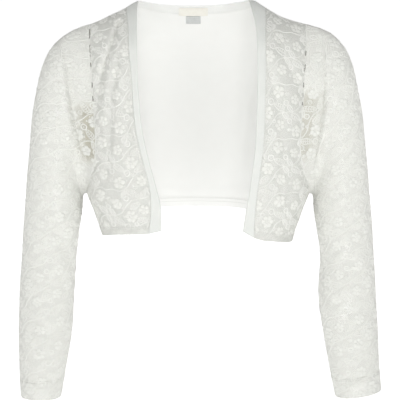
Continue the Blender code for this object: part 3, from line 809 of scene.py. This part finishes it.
def strand(bm, line, width, closed=False, top=STRAND_TOP):
    """A raised cord of thread along a line."""
    line = np.array(line, float)
    tangent = np.roll(line, -1, axis=0) - np.roll(line, 1, axis=0)
    if not closed:
        tangent[0], tangent[-1] = line[1] - line[0], line[-1] - line[-2]
    tangent /= np.linalg.norm(tangent, axis=1, keepdims=True)
    side = np.stack([-tangent[:, 1], tangent[:, 0]], axis=1) * width / 2
    profile = [(1, STRAND_FOOT), (0.6, top), (-0.6, top), (-1, STRAND_FOOT)]
    rings = [[bm.verts.new((*(p + s * k), h)) for k, h in profile] for p, s in zip(line, side)]
    for vert in sum(rings, []):
        vert[bm.verts.layers.float["tone"]] = 1.0
    skinned(bm, rings + rings[:1] if closed else rings)


def worked_repeat():
    bm = bmesh.new()
    bm.verts.layers.float.new("tone")
    for x, y, reach, petals, start in FLOWERS:
        wide = reach * math.sin(math.pi / petals) * 0.72
        outline = [(reach * (0.6 + 0.4 * math.cos(a)), wide * math.sin(a) * (1 + 0.35 * math.cos(a)))
                   for a in np.linspace(0, 2 * math.pi, 11)[:-1]]
        for i in range(petals):
            angle = start + 360 * i / petals
            pad(bm, turned(outline, angle, x, y), turned([(reach * 0.66, 0)], angle, x, y)[0])
        strand(bm, turned(circle(reach * 0.16, 9), 0, x, y), 1.3, True, 0.5)
    for x, y, radius in RINGS:
        strand(bm, turned(circle(radius, 15), 0, x, y), 1.9, True)
        pad(bm, turned(circle(radius * 0.3, 6), 0, x, y), (x, y))
    for x, y, long, wide, angle in LEAVES:
        rim = [(long / 2 * math.cos(a), wide / 2 * math.sin(a) * (1 - 0.25 * math.cos(a)))
               for a in np.linspace(0, 2 * math.pi, 17)[:-1]]
        strand(bm, turned(rim, angle, x, y), 1.3, True)
        strand(bm, turned([(-long / 2, 0), (0, 0), (long / 2, 0)], angle, x, y), 1.0)
        for u in np.linspace(-long * 0.3, long * 0.28, 4):
            reach = wide / 2 * math.sqrt(1 - (2 * u / long) ** 2) * 0.95
            for way in (-1, 1):
                strand(bm, turned([(u - 0.8, 0.1 * way), (u + 0.8, reach * way)], angle, x, y), 1.1)
    for line in STEMS:
        key = list(range(len(line)))
        table = {"at": key, "x": [p[0] for p in line], "y": [p[1] for p in line]}
        at = np.linspace(1, len(line) - 2, 24)
        strand(bm, np.stack([read(table, "x", at, key="at"), read(table, "y", at, key="at")], axis=1), 1.6)
    for x, y, radius, start in CURLS:
        a = np.radians(start + np.linspace(0, 520, 18))
        out = radius * np.linspace(0.25, 1, 18)
        strand(bm, np.stack([x + out * np.cos(a), y + out * np.sin(a)], axis=1), 1.3)
    for x, y, radius in DOTS:
        pad(bm, turned(circle(radius, 7), 0, x, y), (x, y), 1.0)
    bmesh.ops.scale(bm, vec=(MM, MM, MM), verts=bm.verts)
    mesh = bpy.data.meshes.new("worked repeat")
    bm.to_mesh(mesh)
    bm.free()
    mesh.shade_smooth()
    return bpy.data.objects.new("worked repeat", mesh)


def node_tree(name, **sockets):
    tree = bpy.data.node_groups.new(name, "GeometryNodeTree")
    tree.interface.new_socket("Geometry", in_out="OUTPUT", socket_type="NodeSocketGeometry")
    for title, kind in sockets.items():
        tree.interface.new_socket(title, in_out="INPUT", socket_type="NodeSocket" + kind)
    return tree, tree.nodes.new("NodeGroupInput").outputs, tree.nodes.new("NodeGroupOutput").inputs


def made_by(tree, name, mesh, material, **values):
    """A plain piece from a tree of nodes worked on a mesh."""
    start = bpy.data.objects.new(name + " start", mesh)
    bpy.context.scene.collection.objects.link(start)
    modifier = start.modifiers.new("made", "NODES")
    modifier.node_group = tree
    places = {item.name: item.identifier for item in tree.interface.items_tree if item.in_out == "INPUT"}
    for title, value in dict(values, Material=material).items():
        modifier[places[title]] = value
    evaluated = start.evaluated_get(bpy.context.evaluated_depsgraph_get())
    result = bpy.data.meshes.new_from_object(evaluated)
    bpy.data.objects.remove(start)
    result.name = name
    return placed(name, result)


def named(tree, title):
    node = tree.nodes.new("GeometryNodeInputNamedAttribute")
    node.data_type = "FLOAT_VECTOR"
    node.inputs["Name"].default_value = title
    return node.outputs["Attribute"]


def noted(tree, geometry, title, value, kind, domain):
    """The geometry with a value noted on it under a name."""
    node = tree.nodes.new("GeometryNodeStoreNamedAttribute")
    node.data_type, node.domain = kind, domain
    node.inputs["Name"].default_value = title
    tree.links.new(geometry, node.inputs["Geometry"])
    tree.links.new(value, node.inputs["Value"])
    return node.outputs["Geometry"]


def laying_tree():
    """Lays a repeat in columns over a flat cut, trims it there and lifts it on to the cloth.

    Every other column is turned half round and a quarter dropped, where its stems meet its neighbours'.
    """
    tree, given, result = node_tree("lace repeat on a cut", Geometry="Geometry", Repeat="Object",
                                    Across="Float", Down="Float", Columns="Int", Rows="Int", Start="Vector",
                                    Material="Material")
    wide = count(tree, "MULTIPLY", given["Across"], count(tree, "SUBTRACT", given["Columns"], 1.0))
    high = count(tree, "MULTIPLY", given["Down"], count(tree, "SUBTRACT", given["Rows"], 1.0))
    points = wire(tree, "GeometryNodeMeshGrid", wide, high, given["Columns"], given["Rows"])
    place = wire(tree, "GeometryNodeInputPosition")
    from_left = wire(tree, "ShaderNodeSeparateXYZ", place)
    column = count(tree, "ROUND", count(tree, "DIVIDE", from_left, given["Across"]))
    odd = count(tree, "PINGPONG", column, 1.0)
    dropped = count(tree, "MULTIPLY", count(tree, "MULTIPLY", odd, 1.25), given["Down"])
    aside = wire(tree, "ShaderNodeCombineXYZ", count(tree, "MULTIPLY", odd, given["Across"]), dropped)
    shift = wire(tree, "ShaderNodeVectorMath", aside, given["Start"], operation="ADD")
    turn = wire(tree, "ShaderNodeCombineXYZ", None, None, count(tree, "MULTIPLY", odd, math.pi))
    points = noted(tree, points, "turn", turn, "FLOAT_VECTOR", "POINT")
    points = wire(tree, "GeometryNodeSetPosition", points, None, None, shift)
    repeat = wire(tree, "GeometryNodeObjectInfo", given["Repeat"], out=4)
    laid = wire(tree, "GeometryNodeInstanceOnPoints", points, None, repeat, None, None, named(tree, "turn"))
    many = noted(tree, wire(tree, "GeometryNodeRealizeInstances", laid), "flat", place, "FLOAT2", "CORNER")
    found = []
    for value in (place, named(tree, "outward")):
        sample = tree.nodes.new("GeometryNodeSampleUVSurface")
        sample.data_type = "FLOAT_VECTOR"
        tree.links.new(given["Geometry"], sample.inputs["Mesh"])
        tree.links.new(value, sample.inputs["Value"])
        tree.links.new(named(tree, "flat"), sample.inputs[2])
        tree.links.new(place, sample.inputs[3])
        found.append(sample)
    kept = tree.nodes.new("GeometryNodeDeleteGeometry")
    tree.links.new(many, kept.inputs["Geometry"])
    tree.links.new(wire(tree, "FunctionNodeBooleanMath", found[0].outputs["Is Valid"], operation="NOT"),
                   kept.inputs["Selection"])
    lift = wire(tree, "ShaderNodeVectorMath", found[1].outputs["Value"], None, None,
                wire(tree, "ShaderNodeSeparateXYZ", place).node.outputs[2], operation="SCALE")
    to = wire(tree, "ShaderNodeVectorMath", found[0].outputs["Value"], lift, operation="ADD")
    moved = wire(tree, "GeometryNodeSetPosition", kept.outputs["Geometry"], None, to)
    tree.links.new(wire(tree, "GeometryNodeSetMaterial", moved, None, given["Material"]), result[0])
    return tree


def worked_thread(name, dark, pale, cords):
    """Thicker soft thread laid close, in fine slanting stitches, whiter in the cords than in the petals."""
    material, tree, shader, cut, colour = cloth(name, dark, pale, 0.2, (0.55, 0.75), 180.0)
    tinted(tree, shader, colour, "tone", cords, 0.8)
    wave = tree.nodes.new("ShaderNodeTexWave")
    for title, value in (("Scale", 320.0), ("Distortion", 3.0), ("Detail", 1.0), ("Detail Scale", 0.4)):
        wave.inputs[title].default_value = value
    tree.links.new(cut, wave.inputs["Vector"])
    raise_up(tree, shader, wave.outputs["Fac"], 0.3, 0.00015)
    return material


def facing_along(mesh, outward):
    """Notes on each point of a mesh which way the cloth faces there."""
    values = np.array(outward, np.float32).ravel()
    mesh.attributes.new("outward", "FLOAT_VECTOR", "POINT").data.foreach_set("vector", values)


# The key says whether the panel is a closed sleeve
flower_threads = {
    False: worked_thread("body flowers", (0.705, 0.71, 0.665), (0.738, 0.738, 0.7), (0.772, 0.773, 0.74)),
    True: worked_thread("sleeve flowers", (0.705, 0.71, 0.67), (0.74, 0.745, 0.705), (0.765, 0.77, 0.73)),
}
repeat = worked_repeat()
laying = laying_tree()
for node, (grid, name, closed) in panels.items():
    flat = flats[name]
    ring, direction = round_again(grid, closed), round_again(normals[name], closed)
    rows, columns = ring.shape[:2]
    quads = np.array([(r * columns + c, r * columns + c + 1, (r + 1) * columns + c + 1, (r + 1) * columns + c)
                      for r in range(rows - 1) for c in range(columns - 1)])
    surface = bpy.data.meshes.new("surface")
    surface.from_pydata((ring + direction * NET_HIGH).reshape(-1, 3) * MM, [], quads.tolist())
    corners = flat.reshape(-1, 2)[quads.ravel()] * MM
    surface.uv_layers.new(name="flat").data.foreach_set("uv", corners.ravel())
    facing_along(surface, direction)
    wide, high = np.ptp(flat.reshape(-1, 2), axis=0)
    flowers = made_by(laying, "flowers_" + node, surface, flower_threads[closed], Repeat=repeat,
                      Across=REPEAT_WIDE * MM, Down=REPEAT_HIGH * MM,
                      Columns=2 * math.ceil(wide / REPEAT_WIDE / 2) + 3,
                      Rows=math.ceil(high / REPEAT_HIGH) + 3,
                      Start=(flat[..., 0].mean() * MM, high / 2 * MM, 0))

# Bands: plain jersey folded double down both front edges and round the back neck.
# Each is sewn to lace and lining along one side, and rounded at its fold.
BAND_WALL, FOLD_ROUND = 2.0, 1.2
BAND_LOW = (LAYERS - BAND_WALL) / 2
BAND_SKIN = (BAND_LOW, BAND_LOW + BAND_WALL)
band_jersey = jersey("band jersey", (0.67, 0.687, 0.655), (0.7, 0.712, 0.68))
# The neck band is the same jersey as the front bands, made paler as painted light so that it reads as bright
# as the lining inside the back
neck_jersey_painted_light = jersey("neck jersey", (0.88, 0.885, 0.865), (0.905, 0.91, 0.89))
for name in ("band_right", "band_left", "neck_band"):
    grid = grids[name][0]
    if name == "neck_band":
        edges, fold_edge = ("top", "first", "last"), grid[-1:]
    else:
        seam = "first" if abs(grid[0, 0, 0]) > abs(grid[0, -1, 0]) else "last"
        edges, fold_edge = ("top", seam), grid[:, -1:] if seam == "first" else grid[:, :1]
    away = np.linalg.norm(grid - fold_edge, axis=-1)
    share = np.sqrt(1 - (1 - np.clip(away / FOLD_ROUND, 0.02, 1)) ** 2)
    band = shell("edge_" + name, drawn_back(grid, edges), normals[name], BAND_SKIN, flats[name], share=share)
    plain = neck_jersey_painted_light if name == "neck_band" else band_jersey
    made_up(band, plain, name)

# Seams: armholes, shoulders and sides, overlocked inside and drawn into a fine ridge outside.
# At short stretches of both armholes, in front, the ridge is wider and higher and painted dark as shade,
# standing in for openings between the stitches.
SEAM_WIDE, SEAM_HIGH, SEAM_STEP = 1.5, 0.35, 1.2
GAP_WIDER, GAP_HIGHER = 0.6, 0.3
# The upper and lower level of each stretch painted dark as shade
PAINTED_GAPS = {
    "right": [(-38.4, -48.9), (-58, -67.2), (-69.9, -72.5), (-80.4, -85.7), (-105.5, -112.1), (-124, -130.7)],
    "left": [(-65.6, -71.3), (-82.5, -91), (-106, -112.5), (-121, -124.5), (-131.5, -136)],
}


def lengths_along(points):
    """How far along its line each point lies."""
    return np.concatenate([[0.0], np.cumsum(np.linalg.norm(np.diff(points, axis=0), axis=-1))])


def read_along(at, along, *tables):
    """Each table's rows at these distances along its line."""
    return [np.stack([np.interp(at, along, table[:, k]) for k in range(3)], axis=1) for table in tables]


def even_line(points, outward, step):
    """A line and its directions, at points this far apart."""
    along = lengths_along(points)
    at = np.linspace(0, along[-1], max(2, round(along[-1] / step) + 1))
    return read_along(at, along, points, outward)


def ridge_seam(bm, points, outward, base, dark_painted_levels=()):
    """A fine ridge along a seam; at the given levels in front it is wider and higher and marked for painted
    shade, standing in for openings.
    """
    points, outward = even_line(points, outward, SEAM_STEP)
    outward = outward / np.linalg.norm(outward, axis=1, keepdims=True)
    along = np.gradient(points, axis=0)
    across = np.cross(outward, along)
    across /= np.linalg.norm(across, axis=1, keepdims=True)
    shade = bm.verts.layers.float.get("gape")
    profile = [(-1.0, -0.5), (-0.65, 0.6), (0, 1.0), (0.65, 0.6), (1.0, -0.5)]
    rings = []
    for i, (p, out, side) in enumerate(zip(points, outward, across)):
        gape = float(p[1] < 0 and any(lower - SEAM_STEP / 2 <= p[2] <= upper + SEAM_STEP / 2
                                      for upper, lower in dark_painted_levels))
        wide = SEAM_WIDE / 2 * (1.15 + 0.35 * math.sin(i * 1.9)) * (1 + GAP_WIDER * gape)
        high = SEAM_HIGH * (0.8 + 0.25 * math.sin(i * 2.6 + 1)) + GAP_HIGHER * gape
        rings.append([bm.verts.new((p + side * wide * k + out * (base + high * h)) * MM) for k, h in profile])
        for vert in rings[-1]:
            vert[shade] = gape
    skinned(bm, rings)


def meshed(bm, name):
    """A smooth mesh of what was built, with its faces turned outwards."""
    mesh = bpy.data.meshes.new(name)
    bmesh.ops.recalc_face_normals(bm, faces=bm.faces)
    bm.to_mesh(mesh)
    bm.free()
    mesh.shade_smooth()
    return mesh


def seam_thread(name, dark, pale, gape=None):
    """Sewing thread over a drawn-in seam, painted dark as shade where the ridge is marked for it."""
    material, tree, shader, place, colour = cloth(name, dark, pale, 0.2, (0.6, 0.8), 700.0, thread=True)
    if gape:
        tinted(tree, shader, colour, "gape", gape)
    twist = wire(tree, "ShaderNodeTexNoise", place, None, 1600.0, 2.0, 0.5)
    raise_up(tree, shader, twist, 0.4, 0.0002)
    return material


# Seam thread, painted near-black as shade on the marked stretches of the armholes
seam_material = seam_thread("seam thread", (0.76, 0.77, 0.73), (0.82, 0.825, 0.79), gape=(0.2, 0.195, 0.17))
for side in SIDES:
    bm = bmesh.new()
    bm.verts.layers.float.new("gape")
    name = "sleeve_" + side
    ring, outward = (round_again(table, True)[0] for table in (grids[name][0], normals[name]))
    ridge_seam(bm, ring, outward, NET_HIGH, PAINTED_GAPS[side])
    front, direction = grids["front_" + side][0], normals["front_" + side]
    ridge_seam(bm, front[0], direction[0], NET_HIGH)
    outer = -1 if abs(front[0, -1, 0]) > abs(front[0, 0, 0]) else 0
    ridge_seam(bm, front[ARMHOLE_CELLS:, outer], direction[ARMHOLE_CELLS:, outer], NET_HIGH)
    mesh = meshed(bm, "seams_" + side)
    mesh.materials.append(seam_material)
    placed(mesh.name, mesh)

# Seam allowance: both layers and their overlocked edge, turned into the sleeve along the armhole.
# Its colour is darkened and creamed as painted shade, so it shows dim through the net; it is widest, and
# painted darker still, in front of the underarm.
ALLOWANCE_WIDE, ALLOWANCE_WIDER, ALLOWANCE_FROM = 11.5, 6.0, 0.5
ALLOWANCE_SKIN = (0.3, 1.1)
allowance_painted_shade, tree, shader, cut, colour = cloth(
    "seam allowance", (0.7, 0.69, 0.63), (0.76, 0.75, 0.69), 0.1, patch=260.0)
# Painted shade: darker and browner where the allowance lies in front of the underarm
tinted(tree, shader, colour, "spread", (0.56, 0.545, 0.465))
for side in SIDES:
    name = "sleeve_" + side
    ring = round_again(grids[name][0], True)[0]
    above, below, _, most = UNDERARM_SPREAD_AND_SHADE[name]
    within = at_underarm(ring, above, below)
    width = ALLOWANCE_WIDE + ALLOWANCE_WIDER * most * within
    rows = [ALLOWANCE_FROM + width * share for share in np.linspace(0, 1, 5)]
    points, outward, flat = strip(name, True, rows, from_top=True)
    # How strongly the painted shade darkens the allowance
    spread = np.minimum(1, 1.4 * most * within[:-1])
    allowance = shell("allowance_" + side, points, outward, ALLOWANCE_SKIN, flat, True, spread=spread)
    made_up(allowance, allowance_painted_shade)

# Stitching: rows of short machine stitches in fine thread at cuffs and hems, beside the bands
# and round the labels. Each stitch dips into the cloth at both its ends.
STITCH_LONG, STITCH_THICK, STITCH_SIDES = 2.3, 0.42, 6
LINE_STEP = 2.0
STITCH_SEED = 1
# Rings along a stitch: shares of its length and thickness, and the height in mm
STITCH_PROFILE = [(-0.5, 0.35, -0.3), (-0.3, 0.85, 0), (0, 1, 0.12), (0.3, 0.85, 0), (0.5, 0.35, -0.3)]


def stitch_shape():
    """One stitch lying along X."""
    bm = bmesh.new()
    rings = []
    for at, thick, height in STITCH_PROFILE:
        rings.append([bm.verts.new((at * STITCH_LONG * MM, y * MM, (z + height) * MM))
                      for y, z in circle(thick * STITCH_THICK / 2, STITCH_SIDES)])
    skinned(bm, rings, right_round=True)
    bm.faces.new(rings[0][::-1])
    bm.faces.new(rings[-1])
    return bpy.data.objects.new("stitch", meshed(bm, "stitch"))


def stitching_tree():
    """Sets a stitch at even steps along each line, turned to run along it and to lie on the cloth."""
    tree, given, result = node_tree("row of stitches", Geometry="Geometry", Stitch="Object", Step="Float",
                                    Seed="Int", Material="Material")
    line = wire(tree, "GeometryNodeMeshToCurve", given["Geometry"])
    resample = tree.nodes.new("GeometryNodeResampleCurve")
    resample.mode = "LENGTH"
    tree.links.new(line, resample.inputs["Curve"])
    tree.links.new(given["Step"], resample.inputs["Length"])
    turn = tree.nodes.new("FunctionNodeAlignRotationToVector")
    turn.axis = "X"
    tree.links.new(wire(tree, "GeometryNodeInputTangent"), turn.inputs["Vector"])
    lie = tree.nodes.new("FunctionNodeAlignRotationToVector")
    lie.axis, lie.pivot_axis = "Z", "X"
    tree.links.new(turn.outputs[0], lie.inputs["Rotation"])
    tree.links.new(named(tree, "outward"), lie.inputs["Vector"])
    least, most = (0.85, 0.85, 0.85), (1.1, 1.1, 1.1)
    size = wire(tree, "FunctionNodeRandomValue", least, most, data_type="FLOAT_VECTOR")
    tree.links.new(given["Seed"], size.node.inputs["Seed"])
    stitch = wire(tree, "GeometryNodeObjectInfo", given["Stitch"], out=4)
    many = tree.nodes.new("GeometryNodeInstanceOnPoints")
    for value, title in ((resample.outputs[0], "Points"), (stitch, "Instance"), (lie.outputs[0], "Rotation"),
                         (size, "Scale")):
        tree.links.new(value, many.inputs[title])
    real = wire(tree, "GeometryNodeRealizeInstances", many.outputs[0])
    tree.links.new(wire(tree, "GeometryNodeSetMaterial", real, None, given["Material"]), result[0])
    return tree


def sewn(name, lines, step, material):
    """Rows of stitches along lines of points with their outward directions."""
    verts, edges, directions = [], [], []
    for points, outward in lines:
        points, outward = even_line(points, outward, LINE_STEP)
        edges += [(len(verts) + i, len(verts) + i + 1) for i in range(len(points) - 1)]
        verts += list(points * MM)
        directions += list(outward)
    mesh = bpy.data.meshes.new("lines")
    mesh.from_pydata(verts, edges, [])
    facing_along(mesh, directions)
    piece = made_by(stitching, name, mesh, material, Stitch=stitch, Step=step * MM, Seed=STITCH_SEED)


def hem_line(name, distance, height):
    """A line of a panel this far above its hem and this high on its form."""
    closed = grids[name][1]
    points, outward, _ = strip(name, closed, [distance])
    return [round_again(table, closed)[0] for table in (points + outward * height, outward)]


STITCH_STEP = {"lining hem": 2.9, "lace hem": 3.3, "cuff": 3.4, "band": 3.3, "neck": 3.0, "label": 2.8}
LINING_ROWS, CUFF_ROWS = (12.0, 7.5), (24.0, 27.2)
THREAD_PROUD, BESIDE_SEAM = 0.05, 1.8
# How far the thread stands over a hem's turning and a cuff, and runs below the turning's upper edge
HEM_PROUD, CUFF_PROUD, BELOW_TURNING = 0.07, 0.25, 1.0
stitch = stitch_shape()
stitching = stitching_tree()
lining_thread = seam_thread("lining thread", (0.8, 0.81, 0.79), (0.86, 0.865, 0.84))
# Painted shade: the lining hems and cuffs are sewn in white thread, coloured grey and dark grey here for the
# small shadows of their stitches
hem_thread_painted_dark = seam_thread("hem thread", (0.55, 0.56, 0.53), (0.68, 0.69, 0.66))
cuff_thread_painted_dark = seam_thread("cuff thread", (0.36, 0.36, 0.33), (0.54, 0.54, 0.5))
for name in BODY_PANELS:
    lines = [hem_line(name, at, LINING_HEM_SKIN[0] - THREAD_PROUD) for at in LINING_ROWS]
    sewn("stitches_lining_" + name, lines, STITCH_STEP["lining hem"], hem_thread_painted_dark)
    lines = [hem_line(name, HEM_TURNING - BELOW_TURNING, HEM_SKIN[1] + HEM_PROUD)]
    sewn("stitches_hem_" + name, lines, STITCH_STEP["lace hem"], lining_thread)
for side in SIDES:
    lines = [hem_line("sleeve_" + side, at, NET_HIGH + CUFF_PROUD) for at in CUFF_ROWS]
    sewn("stitches_cuff_" + side, lines, STITCH_STEP["cuff"], cuff_thread_painted_dark)
    name = "band_" + side
    grid, outward = grids[name][0], normals[name]
    seam = 0 if abs(grid[0, 0, 0]) > abs(grid[0, -1, 0]) else -1
    across = grid[:, -1 - seam] - grid[:, seam]
    beside = grid[:, seam] + across / np.linalg.norm(across, axis=1, keepdims=True) * BESIDE_SEAM
    line = (beside + outward[:, seam] * (BAND_SKIN[1] + THREAD_PROUD), outward[:, seam])
    sewn("stitches_" + name, [line], STITCH_STEP["band"], lining_thread)
grid, outward = grids["neck_band"][0], normals["neck_band"]
line = (grid[1] + outward[1] * (BAND_LOW - THREAD_PROUD), -outward[1])
sewn("stitches_neck_band", [line], STITCH_STEP["neck"], lining_thread)

# Labels: a cream woven one inside the back neck, over the neck band's seam, and a small grey one below it.
# Both are bare. Only their ends or top are sewn, so they stand off the cloth a little between.
LABEL_ROWS, LABEL_COLUMNS = 13, 25
LABEL_SKIN, LABEL_THREAD = (-0.75, -0.3), 0.78
LABEL_LIFT, LABEL_CURL = 0.25, 0.15
# Weft and warp threads of the weave to a metre
WEFT, WARP = 3200.0, 1900.0
# Width, distances down the neck of the top and the foot, and dark and pale tones
LABELS = {
    "neck_label": (40.0, 3.4, 19.4, (0.86, 0.84, 0.77), (0.9, 0.885, 0.82)),
    "size_label": (20.0, 20.6, 34.5, (0.56, 0.575, 0.57), (0.64, 0.655, 0.65)),
}


def neck_inside(band, back):
    """One grid down the middle of the back, from the neck band's edge over its seam and on down the back."""
    half = (band.shape[1] - 1) // 2
    middle = (back.shape[1] - 1) // 2
    return np.concatenate([band[::-1, ::-1], back[1:, middle - half:middle + half + 1]])


tables = [neck_inside(grids["neck_band"][0], grids["back"][0]),
          neck_inside(normals["neck_band"], normals["back"])]
middle = (tables[0].shape[1] - 1) // 2
down = lengths_along(tables[0][:, middle])
for name, (wide, start, end, dark, pale) in LABELS.items():
    rows = []
    for share in np.linspace(0, 1, LABEL_ROWS):
        row = np.interp(mix(start, end, share), down, range(len(down)))
        r = min(int(row), len(down) - 2)
        line, ways = (mix(table[r], table[r + 1], row - r) for table in tables)
        along = lengths_along(line)
        at = np.linspace(-wide / 2, wide / 2, LABEL_COLUMNS) + along[middle]
        rows.append(read_along(at, along, line, ways))
    points, outward = (np.array(part) for part in zip(*rows))
    u, v = np.meshgrid(np.linspace(0, 1, LABEL_COLUMNS), np.linspace(0, 1, LABEL_ROWS))
    flat = np.stack([-wide * u, (start - end) * v], axis=-1)
    away = LABEL_LIFT * np.sin(math.pi * u) * (0.5 + 0.5 * v) + LABEL_CURL * v * v
    points = points - outward * away[..., None]
    label = shell("woven_" + name, points, outward, LABEL_SKIN, flat)
    material, tree, shader, cut, colour = cloth(name.replace("_", " "), dark, pale, 0.1, (0.42, 0.6), 120.0)
    parts = wire(tree, "ShaderNodeSeparateXYZ", cut).node.outputs
    weft = count(tree, "PINGPONG", count(tree, "MULTIPLY", parts[1], WEFT), 0.5)
    warp = count(tree, "PINGPONG", count(tree, "MULTIPLY", parts[0], WARP), 0.5)
    raise_up(tree, shader, count(tree, "MULTIPLY_ADD", weft, 0.5, warp), 0.5, 0.00018)
    made_up(label, material, name)
    if name == "neck_label":
        lines = [(points[1:-1, c] - outward[1:-1, c] * LABEL_THREAD, -outward[1:-1, c]) for c in (1, -2)]
    else:
        lines = [(points[1, 1:-1] - outward[1, 1:-1] * LABEL_THREAD, -outward[1, 1:-1])]
    sewn("stitches_" + name, lines, STITCH_STEP["label"], lining_thread)

# Studio: a plain pale floor just below the cuffs, and a bright even room.
# Four soft lamps stand in front, at each side and behind.
FLOOR, FLOOR_REACH = -0.56, 30
# Place and power of each lamp
LAMPS = [(0.1, -2.5, 0.56, 17.2), (-1.5, -1.8, 0.45, 4.6), (1.5, -1.8, 0.45, 6.4), (-0.4, 2.4, 0.8, 9)]
LAMP_SIZE, LAMP_AIM = 0.9, -0.25
ROOM_LIGHT = 0.47
floor_mesh = bpy.data.meshes.new("floor")
corners = [(x * FLOOR_REACH, y * FLOOR_REACH, FLOOR) for x, y in ((-1, -1), (1, -1), (1, 1), (-1, 1))]
floor_mesh.from_pydata(corners, [], [(0, 1, 2, 3)])
floor = bpy.data.objects.new("floor", floor_mesh)
bpy.context.scene.collection.objects.link(floor)
paper = bpy.data.materials.new("white floor")
paper.use_nodes = True
for title, value in (("Base Color", (0.95, 0.95, 0.95, 1)), ("Roughness", 0.9),
                     ("Emission Color", (1, 1, 1, 1)), ("Emission Strength", 0.6)):
    paper.node_tree.nodes["Principled BSDF"].inputs[title].default_value = value
floor_mesh.materials.append(paper)
floor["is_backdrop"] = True

world = bpy.data.worlds.new("studio")
world.use_nodes = True
world.node_tree.nodes["Background"].inputs["Color"].default_value = (1, 1, 1, 1)
world.node_tree.nodes["Background"].inputs["Strength"].default_value = ROOM_LIGHT
bpy.context.scene.world = world
for x, y, z, power in LAMPS:
    lamp = bpy.data.lights.new("soft lamp", "AREA")
    lamp.energy = power
    lamp.size = LAMP_SIZE
    light = bpy.data.objects.new("soft lamp", lamp)
    light.location = (x, y, z)
    downward = math.atan2(z - LAMP_AIM, math.hypot(x, y))
    light.rotation_euler = (math.radians(90) - downward, 0, math.atan2(x, -y))
    bpy.context.scene.collection.objects.link(light)

# Camera: in front and a little above, with a long lens, so that the whole garment
# fills the picture.
CAMERA_LENS, CAMERA_AWAY, CAMERA_RISE = 145.1, 2.2, math.radians(9)
AIM_X, AIM_Z = 0.0027, -0.2693
camera_data = bpy.data.cameras.new("camera")
camera_data.lens = CAMERA_LENS
camera_data.clip_end = 100
camera = bpy.data.objects.new("camera", camera_data)
camera.location = (AIM_X, -CAMERA_AWAY * math.cos(CAMERA_RISE), AIM_Z + CAMERA_AWAY * math.sin(CAMERA_RISE))
camera.rotation_euler = (math.radians(90) - CAMERA_RISE, 0, 0)
bpy.context.scene.collection.objects.link(camera)
bpy.context.scene.camera = camera
bpy.context.scene.view_settings.view_transform = "Standard"

low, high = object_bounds()
